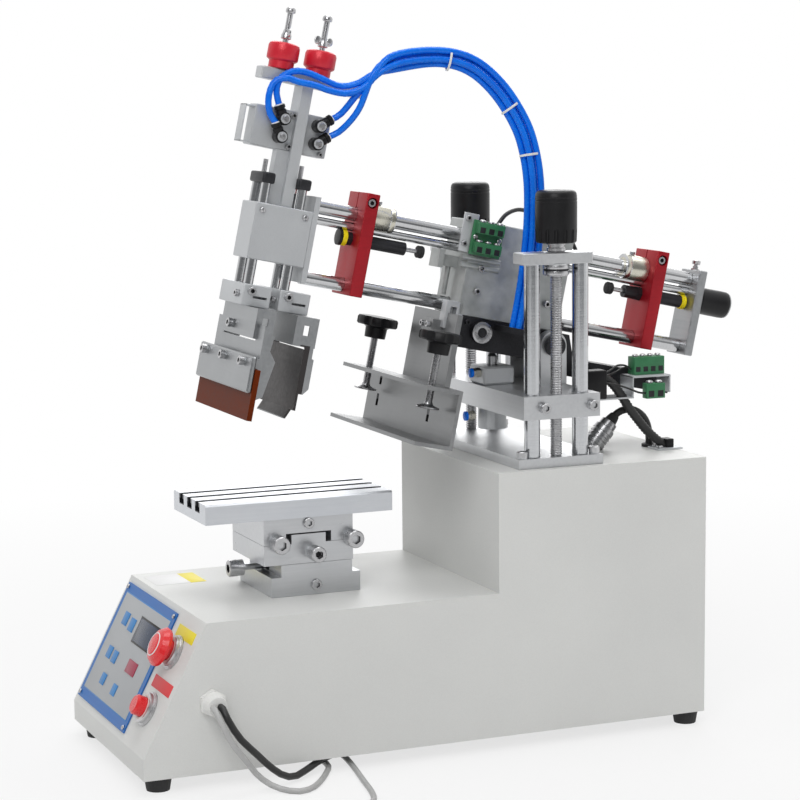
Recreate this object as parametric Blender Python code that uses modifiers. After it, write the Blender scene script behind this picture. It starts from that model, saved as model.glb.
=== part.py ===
# Tabletop screen printing press: sheet metal cabinet, two-axis stage with a slotted table,
# a column lift with a tilting head, and a sliding stroke assembly that carries a squeegee
# and a flood bar. Metres, +Z up, the machine stands on Z = 0 and its front faces -Y.

import math

import bpy
import bmesh
from mathutils import Matrix, Vector

# Common values
contact_gap = 0.0003
cut_overrun = 0.002
weld_depth = 0.0005
merge_distance = 0.00002
smooth_angle = math.radians(32)
round_steps = 24
small_steps = 16
tiny_steps = 12
cord_sides_resolution = 2
coil_sides_resolution = 1
coil_steps_per_turn = 24

# Cabinet: a folded sheet box with a low deck, a slope in front and a tall rear part
cabinet_width = 0.250
cabinet_length = 0.616
cabinet_lip_height = 0.021
cabinet_slope_run = 0.066
cabinet_deck_height = 0.149
cabinet_step_station = 0.377
cabinet_tall_height = 0.272
cabinet_sheet = 0.0015
service_hole_width = 0.060
service_hole_length = 0.060
service_hole_station = 0.470

# Rubber feet
foot_height = 0.015
foot_top_radius = 0.014
foot_bottom_radius = 0.0115
foot_side_inset = 0.020
foot_side = cabinet_width / 2 - foot_side_inset
foot_front_station = 0.020
foot_rear_inset = 0.012
foot_rear_station = cabinet_length - foot_rear_inset

# Control panel and its two push buttons, placed along the slope from the front lip
panel_width = 0.166
panel_height = 0.129
panel_side = -0.034
panel_climb = 0.0725
panel_thickness = 0.0015
button_side_inset = 0.044
button_side = cabinet_width / 2 - button_side_inset
estop_climb = 0.103
start_climb = 0.0425
button_flange_radius = 0.0150
button_flange_height = 0.007
button_bore_radius = 0.0108
button_flange_taper = 0.0015
estop_stem_radius = 0.0100
estop_head_radius = 0.0200
estop_head_height = 0.0140
estop_travel = 0.0040
estop_dome_shares = ((0, 1), (0.45, 0.94), (0.8, 0.72), (1, 0.36), (0.96, 0.12), (0.75, 0))
start_chamfer_share = 0.2
start_cap_radius = 0.0102
start_cap_height = 0.0170
start_travel = 0.0030

# Cord gland on the near side wall
gland_station = 0.0700
gland_height = 0.0855
gland_nut_radius = 0.0140
gland_nut_length = 0.0060
gland_dome_length = 0.0130
gland_mouth_radius = 0.0095
gland_dome_share = 0.86

# Two cords: mains cord and signal cable
mains_radius = 0.0035
signal_radius = 0.0030
cord_point_spacing = 0.0180
mains_loops_per_layer = 1.5
mains_coil_outer_radius = 0.078
signal_loops_per_layer = 1.5
signal_coil_outer_radius = 0.070
coil_side_pitch_share = 1.30
coil_layer_pitch_share = 1.12
climb_turns = 0.5
coil_exit_run = 0.050
coil_floor_gap = 0.0002
plug_body_length = 0.040
plug_body_half_width = 0.0165
plug_body_half_height = 0.0105
plug_pin_radius = 0.0024
plug_pin_length = 0.0190
plug_pin_spacing = 0.0190
plug_shoulder_shares = ((1, 1), (1, 0.45), (0.5, 0.2), (0.36, 0))
connector_body_radius = 0.0075
connector_body_length = 0.030
connector_nose_radius = 0.0060
connector_nose_length = 0.012

# Cord routes on and above the floor, from the gland to each coil
mains_route = ((0.1447, -0.2845, 0.0855), (0.1507, -0.2845, 0.0855), (0.1562, -0.2800, 0.0730),
               (0.1572, -0.2690, 0.0550), (0.1552, -0.2540, 0.0395), (0.1522, -0.2400, 0.0250),
               (0.1475, -0.2250, 0.0125), (0.1405, -0.2095, 0.0062), (0.1290, -0.1920, 0.0078),
               (0.1150, -0.1740, 0.0104), (0.1030, -0.1590, 0.0105), (0.0840, -0.1350, 0.0104),
               (0.0600, -0.1080, 0.0070), (0.0300, -0.0750, 0.0040), (-0.0300, -0.0150, 0.0037),
               (-0.0900, 0.0450, 0.0037), (-0.1400, 0.0915, 0.0037))
mains_coil_centre = (-0.2350, 0.0600)
mains_coil_start = math.radians(60)
signal_route = ((0.1447, -0.2923, 0.0855), (0.1507, -0.2923, 0.0855), (0.1590, -0.2890, 0.0740),
                (0.1632, -0.2800, 0.0540), (0.1612, -0.2650, 0.0340), (0.1570, -0.2520, 0.0170),
                (0.1605, -0.2380, 0.0060), (0.1720, -0.2265, 0.0032), (0.1790, -0.2150, 0.0032),
                (0.1720, -0.2010, 0.0032), (0.1540, -0.1860, 0.0032), (0.1310, -0.1715, 0.0032),
                (0.1120, -0.1620, 0.0032), (0.0900, -0.1600, 0.0032), (0.0690, -0.1600, 0.0032),
                (0.0570, -0.1500, 0.0032), (0.0600, -0.1390, 0.0032), (0.0760, -0.1345, 0.0032),
                (0.1120, -0.1380, 0.0032), (0.1740, -0.1490, 0.0032), (0.2120, -0.1560, 0.0032),
                (0.2370, -0.1650, 0.0032), (0.2505, -0.1820, 0.0032))
signal_coil_centre = (0.3250, -0.2100)
signal_coil_start = math.radians(180)

# Lift: base plate, four columns, two top bars and two lead screws
columns_station = 0.4518
column_spacing = 0.0547
column_side = 0.104
column_radius = 0.00825
column_height = 0.196
base_plate_half_width = 0.116
base_plate_length = 0.096
base_plate_thickness = 0.010
plate_screw_radius = 0.0055
plate_screw_height = 0.006
plate_screw_inset = 0.0070
top_bar_inner = 0.092
top_bar_outer = 0.116
top_bar_length = 0.079
top_bar_thickness = 0.012
top_bar_shift = -0.0035
top_bar_bevel = 0.001
nut_flange_radius = 0.0125
nut_flange_height = 0.010
nut_bore_radius = 0.0065
screw_radius = 0.0060
screw_neck_radius = 0.0095
screw_neck_height = 0.009
screw_pitch = 0.003
knob_radius = 0.0213
knob_height = 0.053
knob_dome = 0.004
knob_flute_radius = 0.0022
knob_flute_height = 0.011
knob_flutes = 12

# Lift block that climbs the columns, with the two posts of the tilt pivot
lift_half_width = 0.118
lift_length = 0.0863
lift_thickness = 0.024
lift_rest_gap = 0.040
lift_drop = 0.014
lift_rise = 0.090
guide_clearance = 0.0003
lift_screw_radius = 0.0050
lift_screw_height = 0.0050
lift_screw_offset = 0.0065
post_thickness = 0.012
post_length = 0.030
post_gap = 0.0010

# Tilt: angle at rest, pivot place, pivot pin and the cylinder that raises the head
tilt_rest_angle = math.radians(12)
pivot_behind_columns = 0.0278
pivot_above_lift = 0.0413
pin_radius = 0.0060
pin_head_radius = 0.0110
pin_head_height = 0.0060
cylinder_side = 0.036
cylinder_height = 0.019
cylinder_before_columns = 0.0233
cylinder_tail_radius = 0.0150
cylinder_tail_drop = 0.0235
cylinder_rod_radius = 0.0050
cylinder_tip_radius = 0.0030
cylinder_tip_length = 0.0030
cylinder_rod_gap = 0.0012
cylinder_rod_length = 0.0300
cylinder_bore_depth = 0.0340
cylinder_bevel = 0.002

# Head datum: the axis of the lower guide rod, seen from the pivot
datum_forward = 0.0075
datum_above_pivot = 0.0230

# Black tilt beam
beam_half_width = 0.030
beam_front = -0.1007
beam_rear = 0.160
beam_front_bottom = -0.0418
beam_front_top = -0.0093
beam_rear_bottom = -0.0525
beam_rear_top = -0.0340
beam_step_start = 0.030
beam_step_run = 0.010
beam_waist_start = 0.012
beam_waist_run = 0.012
hanger_bolt_place = -0.074
hose_lug_reach = 0.042
hose_lug_length = 0.026
hose_lug_thickness = 0.006
hose_lug_place = -0.045
hose_lug_top = -0.0120

# Head block on the beam
head_half_width = 0.030
head_front = -0.1022
head_rear = 0.0154
head_bottom = -0.0090
head_top = 0.0902
rod_clearance = 0.0003
ridge_radius = 0.0030
ridge_front = -0.1097
ridge_length = 0.044
ridge_heights = (0.0430, 0.0510)
bumper_front = -0.1260
bumper_thickness = 0.0060
bumper_half_width = 0.011
bumper_bottom = 0.0355
bumper_top = 0.0545
bumper_arm_half_width = 0.0060
bumper_arm_bottom = 0.0380
bumper_arm_top = 0.0500
bumper_post_radius = 0.0030
bumper_post_bottom = 0.0085
bumper_post_place = -0.1090
head_bevel = 0.0010

# Stroke rods, measured from the head datum
rods_front = -0.2694
rods_rear = 0.1770
upper_tube_radius = 0.0075
upper_tube_place = 0.0730
piston_rod_radius = 0.0045
piston_rod_place = 0.0595
lower_rod_radius = 0.00725
collar_radius = 0.0135
collar_length = 0.0270
collar_screw_radius = 0.0030
collar_screw_rise = 0.0025

# Red stop blocks with their shock absorbers
stop_half_width = 0.025
stop_bottom = -0.0100
stop_top = 0.0960
front_stop_place = -0.2152
rear_stop_place = 0.1268
stop_thickness = 0.014
stop_chamfer = 0.004
stop_slit = 0.0015
stop_bolt_radius = 0.0050
stop_bolt_height = 0.0040
stop_bolt_side = 0.0130
damper_place = 0.0472
damper_radius = 0.0068
damper_length = 0.0750
front_damper_reach = 0.0535
rear_damper_reach = 0.0270
damper_ring_radius = 0.0074
damper_ring_length = 0.0045
damper_nut_radius = 0.0082
damper_nut_length = 0.0050
plunger_radius = 0.0025
plunger_bore_radius = 0.0030
plunger_bore_depth = 0.0180
plunger_stem_sink = 0.0060
plunger_tip_radius = 0.0065
plunger_tip_length = 0.0080
plunger_reach = 0.0217
plunger_travel = 0.0100
stroke_back = 0.0050
stroke_stop_gap = 0.0010

# End plate and the black knob behind it
end_plate_thickness = 0.0100
end_plate_half_width = 0.0200
end_plate_bottom = -0.0088
end_plate_top = 0.0842
end_plate_bevel = 0.0010
end_plate_bolt_radius = 0.0030
end_knob_radius = 0.0140
end_knob_length = 0.0400
end_knob_place = 0.0522

# Carriage at the front end of the rods
carriage_half_width = 0.0215
carriage_front = -0.3367
carriage_rear = -0.2747
carriage_bottom = 0.0092
carriage_top = 0.0662
back_plate_bottom = -0.0058
back_plate_top = 0.0822
back_plate_half_width = 0.0215
carriage_bevel = 0.0010

# Uprights above the carriage: centre post, valve blocks and crossbar
centre_post_front = -0.3072
centre_post_depth = 0.0115
centre_post_half_width = 0.0120
rail_depth = 0.0130
rail_half_width = 0.0060
port_block_front = -0.3497
port_block_rear = -0.2677
port_block_bottom = 0.1212
port_block_height = 0.0410
port_block_far = -0.0160
port_block_near = 0.0050
crossbar_front = -0.3517
crossbar_rear = -0.2387
crossbar_bottom = 0.1882
crossbar_thickness = 0.0120
crossbar_half_width = 0.0095
elbow_radius = 0.0050
elbow_length = 0.0140
elbow_places = (-0.3215, -0.2820)
elbow_heights = (0.0130, 0.0310)
port_block_bevel = 0.0010
crossbar_bevel = 0.0010

# Red stroke knobs on the crossbar
stroke_knob_places = (-0.3297, -0.2897)
stroke_knob_radius = 0.0160
stroke_knob_height = 0.0265
stroke_knob_base_radius = 0.0125
stroke_knob_base_height = 0.0060
stroke_bolt_radius = 0.0030
stroke_bolt_height = 0.0300
stroke_bolt_head_radius = 0.0050
stroke_bolt_head_height = 0.0060
wing_height = 0.0070
wing_thickness = 0.0025
wing_half_span = 0.0110
wing_hub_radius = 0.0055
wing_rise = 0.0060
wing_lift = 0.0040
stroke_knob_bevel = 0.0015
knob_round_share = 0.7

# Blade guides: twin rods in the carriage, a yoke above and a clamp bar below
guide_rod_radius = 0.0048
guide_rod_side = 0.0140
front_guide_place = -0.3275
rear_guide_place = -0.2884
yoke_bottom = 0.0860
yoke_height = 0.0110
yoke_half_width = 0.0200
yoke_half_depth = 0.0068
yoke_pin_radius = 0.0025
blade_travel = 0.0190
clamp_bar_far = -0.0460
clamp_bar_near = 0.0220
clamp_bar_bottom = -0.0375
clamp_bar_top = -0.0160
front_clamp_front = -0.3345
front_clamp_rear = -0.3040
rear_clamp_front = -0.2950
rear_clamp_rear = -0.2620
clamp_slot_height = 0.0020
clamp_slot_depth = 0.0150
clamp_bolt_radius = 0.0042
clamp_bolt_height = 0.0020
clamp_bolt_offset = 0.0080
clamp_bolt_place = -0.0215
clamp_slot_place = -0.0280
clamp_bar_bevel = 0.0010
yoke_bevel = 0.0010
guide_rod_foot = 0.0060

# Squeegee holder, its cheeks and the printing blade
saddle_half_width = 0.0500
saddle_depth = 0.0200
saddle_height = 0.0300
saddle_sheet = 0.0020
saddle_front = -0.3255
window_width = 0.0060
window_height = 0.0100
saddle_top = -0.0378
backing_half_width = 0.0700
backing_top = -0.0530
backing_bottom = -0.1180
backing_front = -0.3220
backing_thickness = 0.0040
spacer_bottom = -0.0960
spacer_top = -0.0860
jaw_half_width = 0.0800
jaw_top = -0.0840
jaw_bottom = -0.1200
jaw_thickness = 0.0050
jaw_front = -0.3330
jaw_bevel = 0.0015
cheek_thickness = 0.0020
cheek_outline = ((-0.3215, -0.0600), (-0.3030, -0.0620), (-0.3050, -0.0777), (-0.2977, -0.0876),
                 (-0.3046, -0.1240), (-0.3123, -0.1282), (-0.3185, -0.1175), (-0.3215, -0.1175))
window_share = 0.62
jaw_screw_place = -0.0905
saddle_screw_side = -0.0150
saddle_screw_place = -0.0580
holder_screw_radius = 0.0042
holder_screw_height = 0.0040
jaw_screw_sides = (-0.0580, 0.0, 0.0580)
blade_half_width = 0.0800
blade_bottom = -0.1470

# Flood bar holder and its plate
flood_saddle_front = -0.2830
flood_saddle_depth = 0.0240
flood_saddle_top = -0.0378
flood_plate_half_width = 0.0500
flood_plate_front = -0.2700
flood_plate_thickness = 0.0025
flood_plate_top = -0.0700
flood_plate_bottom = -0.1420
flood_plate_chamfer = 0.0110
flood_lip_run = 0.0050
flood_lip_height = 0.0100
flood_neck_outline = ((-0.2705, -0.0600), (-0.2600, -0.0640), (-0.2600, -0.0780),
                      (-0.2577, -0.0790), (-0.2577, -0.1090), (-0.2630, -0.1150),
                      (-0.2690, -0.1150), (-0.2690, -0.0700), (-0.2705, -0.0660))

# Two-axis stage on the deck
stage_station = 0.2086
stage_side = 0.096
stage_base_height = 0.0203
rail_front_inset = 0.0107
rail_rear_inset = 0.0085
stage_rail_height = 0.0125
stage_groove_half_width = 0.0120
stage_groove_depth = 0.0122
stage_shift = -0.0075
cross_slide_height = 0.0205
cross_tongue_height = 0.0030
upper_rail_half_width = 0.0184
upper_rail_height = 0.0095
upper_notch_half_width = 0.0243
upper_notch_height = 0.0107
top_slide_height = 0.0262
slide_gap = 0.0003
cross_travel_front = 0.0025
cross_travel_rear = 0.0200
top_travel = 0.0120
front_head_radius = 0.0083
front_head_length = 0.0120
front_head_gap = 0.0040
feed_shaft_radius = 0.0030
front_shaft_length = 0.0760
feed_pitch = 0.0020
front_feed_height = 0.0243
side_head_radius = 0.0078
side_head_length = 0.0110
side_boss_radius = 0.0065
side_boss_length = 0.0075
side_feed_place = 0.0030
side_feed_drop = 0.0088
side_shaft_length = 0.0150
side_bore_depth = 0.0180
lock_head_radius = 0.0088
lock_head_length = 0.0100
lock_places = (-0.0333, 0.0464)
lock_rise = 0.0015
lock_stem_radius = 0.0022
lock_stem_rise = 0.0035
lock_stem_inset = 0.0040
socket_radius = 0.0035
socket_depth = 0.0030
set_screw_radius = 0.0048
set_screw_rise = 0.0010
set_screw_drop = 0.0060

# Slotted table
table_half_width = 0.0510
table_shift = -0.0096
table_length = 0.2003
table_thickness = 0.0205
table_slots = 3
slot_pitch = 0.0255
slot_mouth = 0.0080
slot_mouth_depth = 0.0050
slot_base = 0.0140
slot_base_depth = 0.0050
table_edge_bevel = 0.0020

# Frame clamp: channel, hanger plate, spindles and knobs
channel_half_width = 0.1150
channel_back = -0.1195
channel_wall = 0.0040
channel_bottom = -0.1430
channel_top = -0.0825
channel_lower_depth = 0.0420
channel_upper_depth = 0.0380
hanger_half_width = 0.0550
hanger_front = -0.1130
hanger_thickness = 0.0060
hanger_top = -0.0090
hanger_spacer_half_width = 0.0220
hanger_arm_thickness = 0.0055
web_slot_width = 0.0060
web_slot_height = 0.0130
web_slot_sides = (-0.0850, 0.0500)
web_slot_heights = (-0.0990, -0.1220)
hanger_block_width = 0.0260
hanger_block_height = 0.0130
hanger_block_depth = 0.0120
hanger_block_side = 0.0100
hanger_block_bottom = -0.0310
spindle_side = 0.0830
spindle_place = -0.1405
spindle_radius = 0.0040
spindle_foot_radius = 0.0120
spindle_foot_height = 0.0030
spindle_foot_place = -0.1065
clamp_knob_radius = 0.0220
clamp_knob_height = 0.0110
clamp_hub_radius = 0.0115
clamp_hub_height = 0.0130
clamp_knob_place = -0.0380
clamp_pitch = 0.00125
clamp_down = 0.0280
clamp_up = 0.0120

# Air hoses: one bundle from the valve blocks to the lug on the beam
hose_radius = 0.0088
hose_point_spacing = 0.0260
hose_route = ((0.0193, -0.2820, 0.1433), (0.0260, -0.2820, 0.1433), (0.0370, -0.2760, 0.1600),
              (0.0360, -0.2640, 0.1860), (0.0340, -0.2500, 0.2080), (0.0350, -0.2280, 0.2270),
              (0.0380, -0.1820, 0.2430), (0.0420, -0.1450, 0.2425), (0.0470, -0.1120, 0.2250),
              (0.0530, -0.0840, 0.1960), (0.0580, -0.0690, 0.1680), (0.0610, -0.0580, 0.1340),
              (0.0620, -0.0500, 0.0900), (0.0620, -0.0460, 0.0450), (0.0620, -0.0450, 0.0120),
              (0.0620, -0.0450, -0.0117))


# Derived places. The origin is the middle of the box round the machine, so the front lip
# stands half the machine's total reach in front of it.
slope_rise = cabinet_deck_height - cabinet_lip_height
slope_angle = math.atan2(slope_rise, cabinet_slope_run)
tilt_cos = math.cos(tilt_rest_angle)
tilt_sin = math.sin(tilt_rest_angle)

end_plate_front = rods_rear + contact_gap
end_plate_rear = end_plate_front + end_plate_thickness
knob_end = end_plate_rear + end_knob_length
pivot_station = columns_station + pivot_behind_columns
rear_reach = (pivot_station + (knob_end - datum_forward) * tilt_cos
              + (end_knob_place + end_knob_radius + datum_above_pivot) * tilt_sin)
lip_y = -rear_reach / 2

deck_z = foot_height + cabinet_deck_height
tall_z = foot_height + cabinet_tall_height
columns_y = lip_y + columns_station
base_top_z = tall_z + contact_gap + base_plate_thickness
top_bar_z = base_top_z + contact_gap + column_height + contact_gap
lift_bottom_z = base_top_z + lift_rest_gap
lift_top_z = lift_bottom_z + lift_thickness
pivot_y = lip_y + pivot_station
pivot_z = lift_top_z + pivot_above_lift
cylinder_y = columns_y - cylinder_before_columns
cylinder_top_z = lift_top_z + contact_gap + cylinder_height


def beam_underside(tilt):
    """Height of the beam's underside above the pivot, over the tilt cylinder."""
    depth = beam_front_bottom + datum_above_pivot
    lever = pivot_y - cylinder_y
    along = (lever + depth * math.sin(tilt)) / math.cos(tilt)
    return along * math.sin(tilt) + depth * math.cos(tilt)


cylinder_rod_top_z = pivot_z + beam_underside(tilt_rest_angle) - cylinder_rod_gap


def clear_scene():
    for old in list(bpy.data.objects):
        bpy.data.objects.remove(old, do_unlink=True)
    for old in list(bpy.data.collections):
        bpy.data.collections.remove(old)


clear_scene()
press = bpy.data.collections.new("screen_printing_press")
cutters = bpy.data.collections.new("cutters")
guides = bpy.data.collections.new("guides")
for holder in (press, cutters, guides):
    bpy.context.scene.collection.children.link(holder)


# Materials
def material(name, color, roughness, metallic):
    made = bpy.data.materials.new(name)
    made.use_nodes = True
    shader = made.node_tree.nodes["Principled BSDF"]
    shader.inputs["Base Color"].default_value = (*color, 1)
    shader.inputs["Roughness"].default_value = roughness
    shader.inputs["Metallic"].default_value = metallic
    return made


white_paint = material("white_paint", (0.78, 0.78, 0.75), 0.55, 0)
black_rubber = material("black_rubber", (0.02, 0.02, 0.02), 0.8, 0)
black_plastic = material("black_plastic", (0.03, 0.03, 0.03), 0.45, 0)
black_metal = material("black_metal", (0.03, 0.03, 0.035), 0.45, 0.6)
panel_blue = material("panel_blue", (0.12, 0.35, 0.62), 0.45, 0)
button_red = material("button_red", (0.6, 0.03, 0.03), 0.35, 0)
gland_white = material("gland_white", (0.85, 0.85, 0.82), 0.4, 0)
cable_grey = material("cable_grey", (0.5, 0.5, 0.5), 0.4, 0)
bright_steel = material("bright_steel", (0.7, 0.71, 0.72), 0.15, 1)
dull_steel = material("dull_steel", (0.5, 0.5, 0.5), 0.4, 1)
aluminium = material("aluminium", (0.65, 0.66, 0.67), 0.35, 1)
red_anodised = material("red_anodised", (0.45, 0.02, 0.03), 0.3, 0.8)
blade_brown = material("blade_brown", (0.32, 0.08, 0.02), 0.35, 0)
hose_blue = material("hose_blue", (0.02, 0.2, 0.8), 0.3, 0)


# Frames: empties that carry the moving bodies
def frame(name, parent=None, place=(0, 0, 0), turn=0):
    made = bpy.data.objects.new(name, None)
    guides.objects.link(made)
    made.parent = parent
    made.location = place
    made.rotation_euler = (turn, 0, 0)
    return made


machine_frame = frame("machine_frame")
slope_frame = frame("slope_frame", machine_frame,
                    (0, lip_y, foot_height + cabinet_lip_height), slope_angle)
lift_frame = frame("lift_frame", machine_frame)
tilt_frame = frame("tilt_frame", lift_frame, (0, pivot_y, pivot_z), -tilt_rest_angle)
head_frame = frame("head_frame", tilt_frame, (0, -datum_forward, datum_above_pivot))
stroke_frame = frame("stroke_frame", head_frame)
squeegee_frame = frame("squeegee_frame", stroke_frame)
flood_frame = frame("flood_frame", stroke_frame)
stage_frame = frame("stage_frame", machine_frame, (0, lip_y + stage_station, deck_z))
cross_frame = frame("cross_frame", stage_frame, (0, stage_shift, 0))
top_frame = frame("top_frame", cross_frame)

# Turns that carry a shape's own Z, or a drawn outline, onto the X, Y or Z axis
turned_axes = {"X": Matrix(((0, 0, 1, 0), (1, 0, 0, 0), (0, 1, 0, 0), (0, 0, 0, 1))),
               "Y": Matrix(((1, 0, 0, 0), (0, 0, 1, 0), (0, -1, 0, 0), (0, 0, 0, 1))),
               "Z": Matrix.Identity(4)}
drawn_axes = {"X": turned_axes["X"],
              "Y": Matrix(((1, 0, 0, 0), (0, 0, -1, 0), (0, 1, 0, 0), (0, 0, 0, 1))),
              "Z": Matrix.Identity(4)}
both_sides = (1, -1)
hexagon_flat = math.radians(30)


# Shapes. Each is a mesh object in its frame; box corners and places are frame coordinates.
def put(mesh, parent, place):
    made = bpy.data.objects.new(mesh.name, mesh)
    cutters.objects.link(made)
    made.parent = parent
    made.location = place
    return made


def mesh_from(work, name):
    mesh = bpy.data.meshes.new(name)
    work.to_mesh(mesh)
    work.free()
    return mesh


def box(parent, low, high, bevel=0):
    low = Vector(low)
    high = Vector(high)
    work = bmesh.new()
    bmesh.ops.create_cube(work, size=1)
    bmesh.ops.scale(work, vec=high - low, verts=work.verts)
    if bevel:
        bmesh.ops.bevel(work, geom=list(work.edges), offset=bevel, segments=1,
                        affect="EDGES", profile=0.5)
    return put(mesh_from(work, "box"), parent, (low + high) / 2)


def rod(parent, start, end, radius, steps=round_steps, end_radius=None, spin=0):
    """A cylinder or cone between two places that differ along one axis."""
    start = Vector(start)
    end = Vector(end)
    along = end - start
    axis = "XYZ"[max(range(3), key=lambda index: abs(along[index]))]
    if sum(along) < 0:
        start, end = end, start
        along = end - start
    work = bmesh.new()
    bmesh.ops.create_cone(work, cap_ends=True, segments=steps, radius1=radius,
                          radius2=radius if end_radius is None else end_radius,
                          depth=along.length)
    bmesh.ops.transform(work, matrix=turned_axes[axis] @ Matrix.Rotation(spin, 4, "Z"),
                        verts=work.verts)
    return put(mesh_from(work, "rod"), parent, (start + end) / 2)


def turned(parent, place, profile, axis="Z", steps=round_steps):
    """A turned shape: its profile runs down the outer side as (radius, height) pairs."""
    mesh = bpy.data.meshes.new("turned")
    corners = [turned_axes[axis] @ Vector((radius, 0, height)) for radius, height in profile]
    mesh.from_pydata(corners, [(index, index + 1) for index in range(len(profile) - 1)], [])
    made = put(mesh, parent, place)
    spin = made.modifiers.new("Screw", "SCREW")
    spin.axis = axis
    spin.steps = steps
    spin.render_steps = steps
    spin.use_merge_vertices = True
    spin.merge_threshold = merge_distance
    return made


def plate(parent, outline, low, high, axis="Z"):
    """A flat plate. Its outline lies across the axis: (x, y), (y, z) or (x, z)."""
    curve = bpy.data.curves.new("plate", "CURVE")
    curve.dimensions = "2D"
    curve.fill_mode = "BOTH"
    curve.extrude = (high - low) / 2
    spline = curve.splines.new("POLY")
    spline.points.add(len(outline) - 1)
    for point, (across, along) in zip(spline.points, outline):
        point.co = (across, along, 0, 1)
    spline.use_cyclic_u = True
    drawn = bpy.data.objects.new("plate", curve)
    cutters.objects.link(drawn)
    seen = drawn.evaluated_get(bpy.context.evaluated_depsgraph_get())
    work = bmesh.new()
    work.from_mesh(bpy.data.meshes.new_from_object(seen))
    bpy.data.objects.remove(drawn, do_unlink=True)
    bmesh.ops.remove_doubles(work, verts=work.verts, dist=merge_distance)
    bmesh.ops.transform(work, matrix=drawn_axes[axis], verts=work.verts)
    bmesh.ops.recalc_face_normals(work, faces=work.faces)
    middle = (low + high) / 2
    place = {"X": (middle, 0, 0), "Y": (0, middle, 0), "Z": (0, 0, middle)}[axis]
    return put(mesh_from(work, "plate"), parent, place)


def finish(name, shape, look, joined=(), cut=()):
    """Names a shape, fuses the joined shapes to it, then takes the cut shapes out of it."""
    shape.name = name
    shape.data.name = name
    cutters.objects.unlink(shape)
    press.objects.link(shape)
    shape.data.materials.append(look)
    for operation, tools in (("UNION", joined), ("DIFFERENCE", cut)):
        for tool in tools:
            step = shape.modifiers.new(operation.lower(), "BOOLEAN")
            step.operation = operation
            step.solver = "EXACT"
            step.object = tool
            tool.hide_render = True
            tool.display_type = "WIRE"
    shape.data.shade_smooth()
    shape.data.set_sharp_from_angle(angle=smooth_angle)
    return shape


def mirrored(outline):
    """Closes a half outline, drawn at +x from top to bottom, with its mirror image."""
    return list(outline) + [(-across, along) for across, along in reversed(outline)]


# Cords
def smooth_route(points, spacing):
    """Reads evenly spaced points from a smooth curve through the given ones."""
    places = [Vector(point) for point in points]
    samples = 40
    fine = []
    for index in range(len(places) - 1):
        before = places[max(index - 1, 0)]
        start = places[index]
        end = places[index + 1]
        after = places[min(index + 2, len(places) - 1)]
        for step in range(samples):
            t = step / samples
            fine.append((start * 2 + (end - before) * t
                         + (before * 2 - start * 5 + end * 4 - after) * t ** 2
                         + (start * 3 - before - end * 3 + after) * t ** 3) / 2)
    fine.append(places[-1])
    walked = [0]
    for here, following in zip(fine, fine[1:]):
        walked.append(walked[-1] + (following - here).length)
    count = max(2, round(walked[-1] / spacing))
    even = [fine[0]]
    for index in range(1, len(fine)):
        target = walked[-1] * len(even) / count
        while len(even) < count and walked[index] >= target:
            share = (target - walked[index - 1]) / (walked[index] - walked[index - 1])
            even.append(fine[index - 1].lerp(fine[index], share))
            target = walked[-1] * len(even) / count
    even.append(fine[-1])
    return even


def cord(name, points, radius, look, resolution=cord_sides_resolution, parent=None):
    curve = bpy.data.curves.new(name, "CURVE")
    curve.dimensions = "3D"
    curve.bevel_depth = radius
    curve.bevel_resolution = resolution
    curve.use_fill_caps = True
    spline = curve.splines.new("POLY")
    spline.points.add(len(points) - 1)
    for point, place in zip(spline.points, points):
        point.co = (*place, 1)
    curve.materials.append(look)
    made = bpy.data.objects.new(name, curve)
    made.parent = parent
    press.objects.link(made)
    return made


def coil_points(centre, outer, radius, loops, start_angle, rest_height):
    """A coil that spirals in on the floor, climbs in half a turn and spirals out on top.
    Both ends run straight, and the last one leads down to the height of its plug."""
    side_pitch = 2 * radius * coil_side_pitch_share
    layer_pitch = 2 * radius * coil_layer_pitch_share
    turns = 2 * loops + climb_turns
    count = round(turns * coil_steps_per_turn)
    points = []
    for index in range(count + 1):
        turn = turns * index / count
        inward = min(turn, loops)
        outward = max(turn - loops - climb_turns, 0)
        climb = min(max(turn - loops, 0) / climb_turns, 1)
        reach = outer - side_pitch * (inward - outward)
        angle = start_angle + 2 * math.pi * turn
        points.append(Vector((centre[0] + reach * math.cos(angle),
                              centre[1] + reach * math.sin(angle),
                              radius + coil_floor_gap + layer_pitch * climb)))
    heading_in = (points[1] - points[0]).normalized()
    heading_out = (points[-1] - points[-2]).normalized()
    points.insert(0, points[0] - heading_in * 2 * radius)
    heading_out.z = 0
    heading_out.normalize()
    leave = points[-1]
    run = coil_exit_run - 2 * radius
    points.append(leave + heading_out * 2 * radius)
    points.append(Vector((*(leave + heading_out * run).xy, rest_height)))
    points.append(Vector((*(leave + heading_out * coil_exit_run).xy, rest_height)))
    return points


def least_gap(points, radius):
    """Least gap between the passes of a coil, measured on its points."""
    least = math.inf
    half_turn = coil_steps_per_turn // 2
    for index, here in enumerate(points):
        for other in points[index + half_turn:]:
            least = min(least, (other - here).length - 2 * radius)
    return least


# Cabinet
def cabinet_outline(inset):
    """Side outline of the cabinet, moved inward by the sheet's thickness."""
    bottom = foot_height + inset
    front = lip_y + inset
    rear = lip_y + cabinet_length - inset
    step = lip_y + cabinet_step_station + inset
    deck = deck_z - inset
    top = tall_z - inset
    slope_foot = (foot_height + cabinet_lip_height
                  - inset * math.tan((math.pi / 2 - slope_angle) / 2))
    slope_head = lip_y + cabinet_slope_run + inset * math.tan(slope_angle / 2)
    return [(front, bottom), (rear, bottom), (rear, top), (step, top), (step, deck),
            (slope_head, deck), (front, slope_foot)]


def button_places():
    return ((button_side, estop_climb), (button_side, start_climb))


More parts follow.
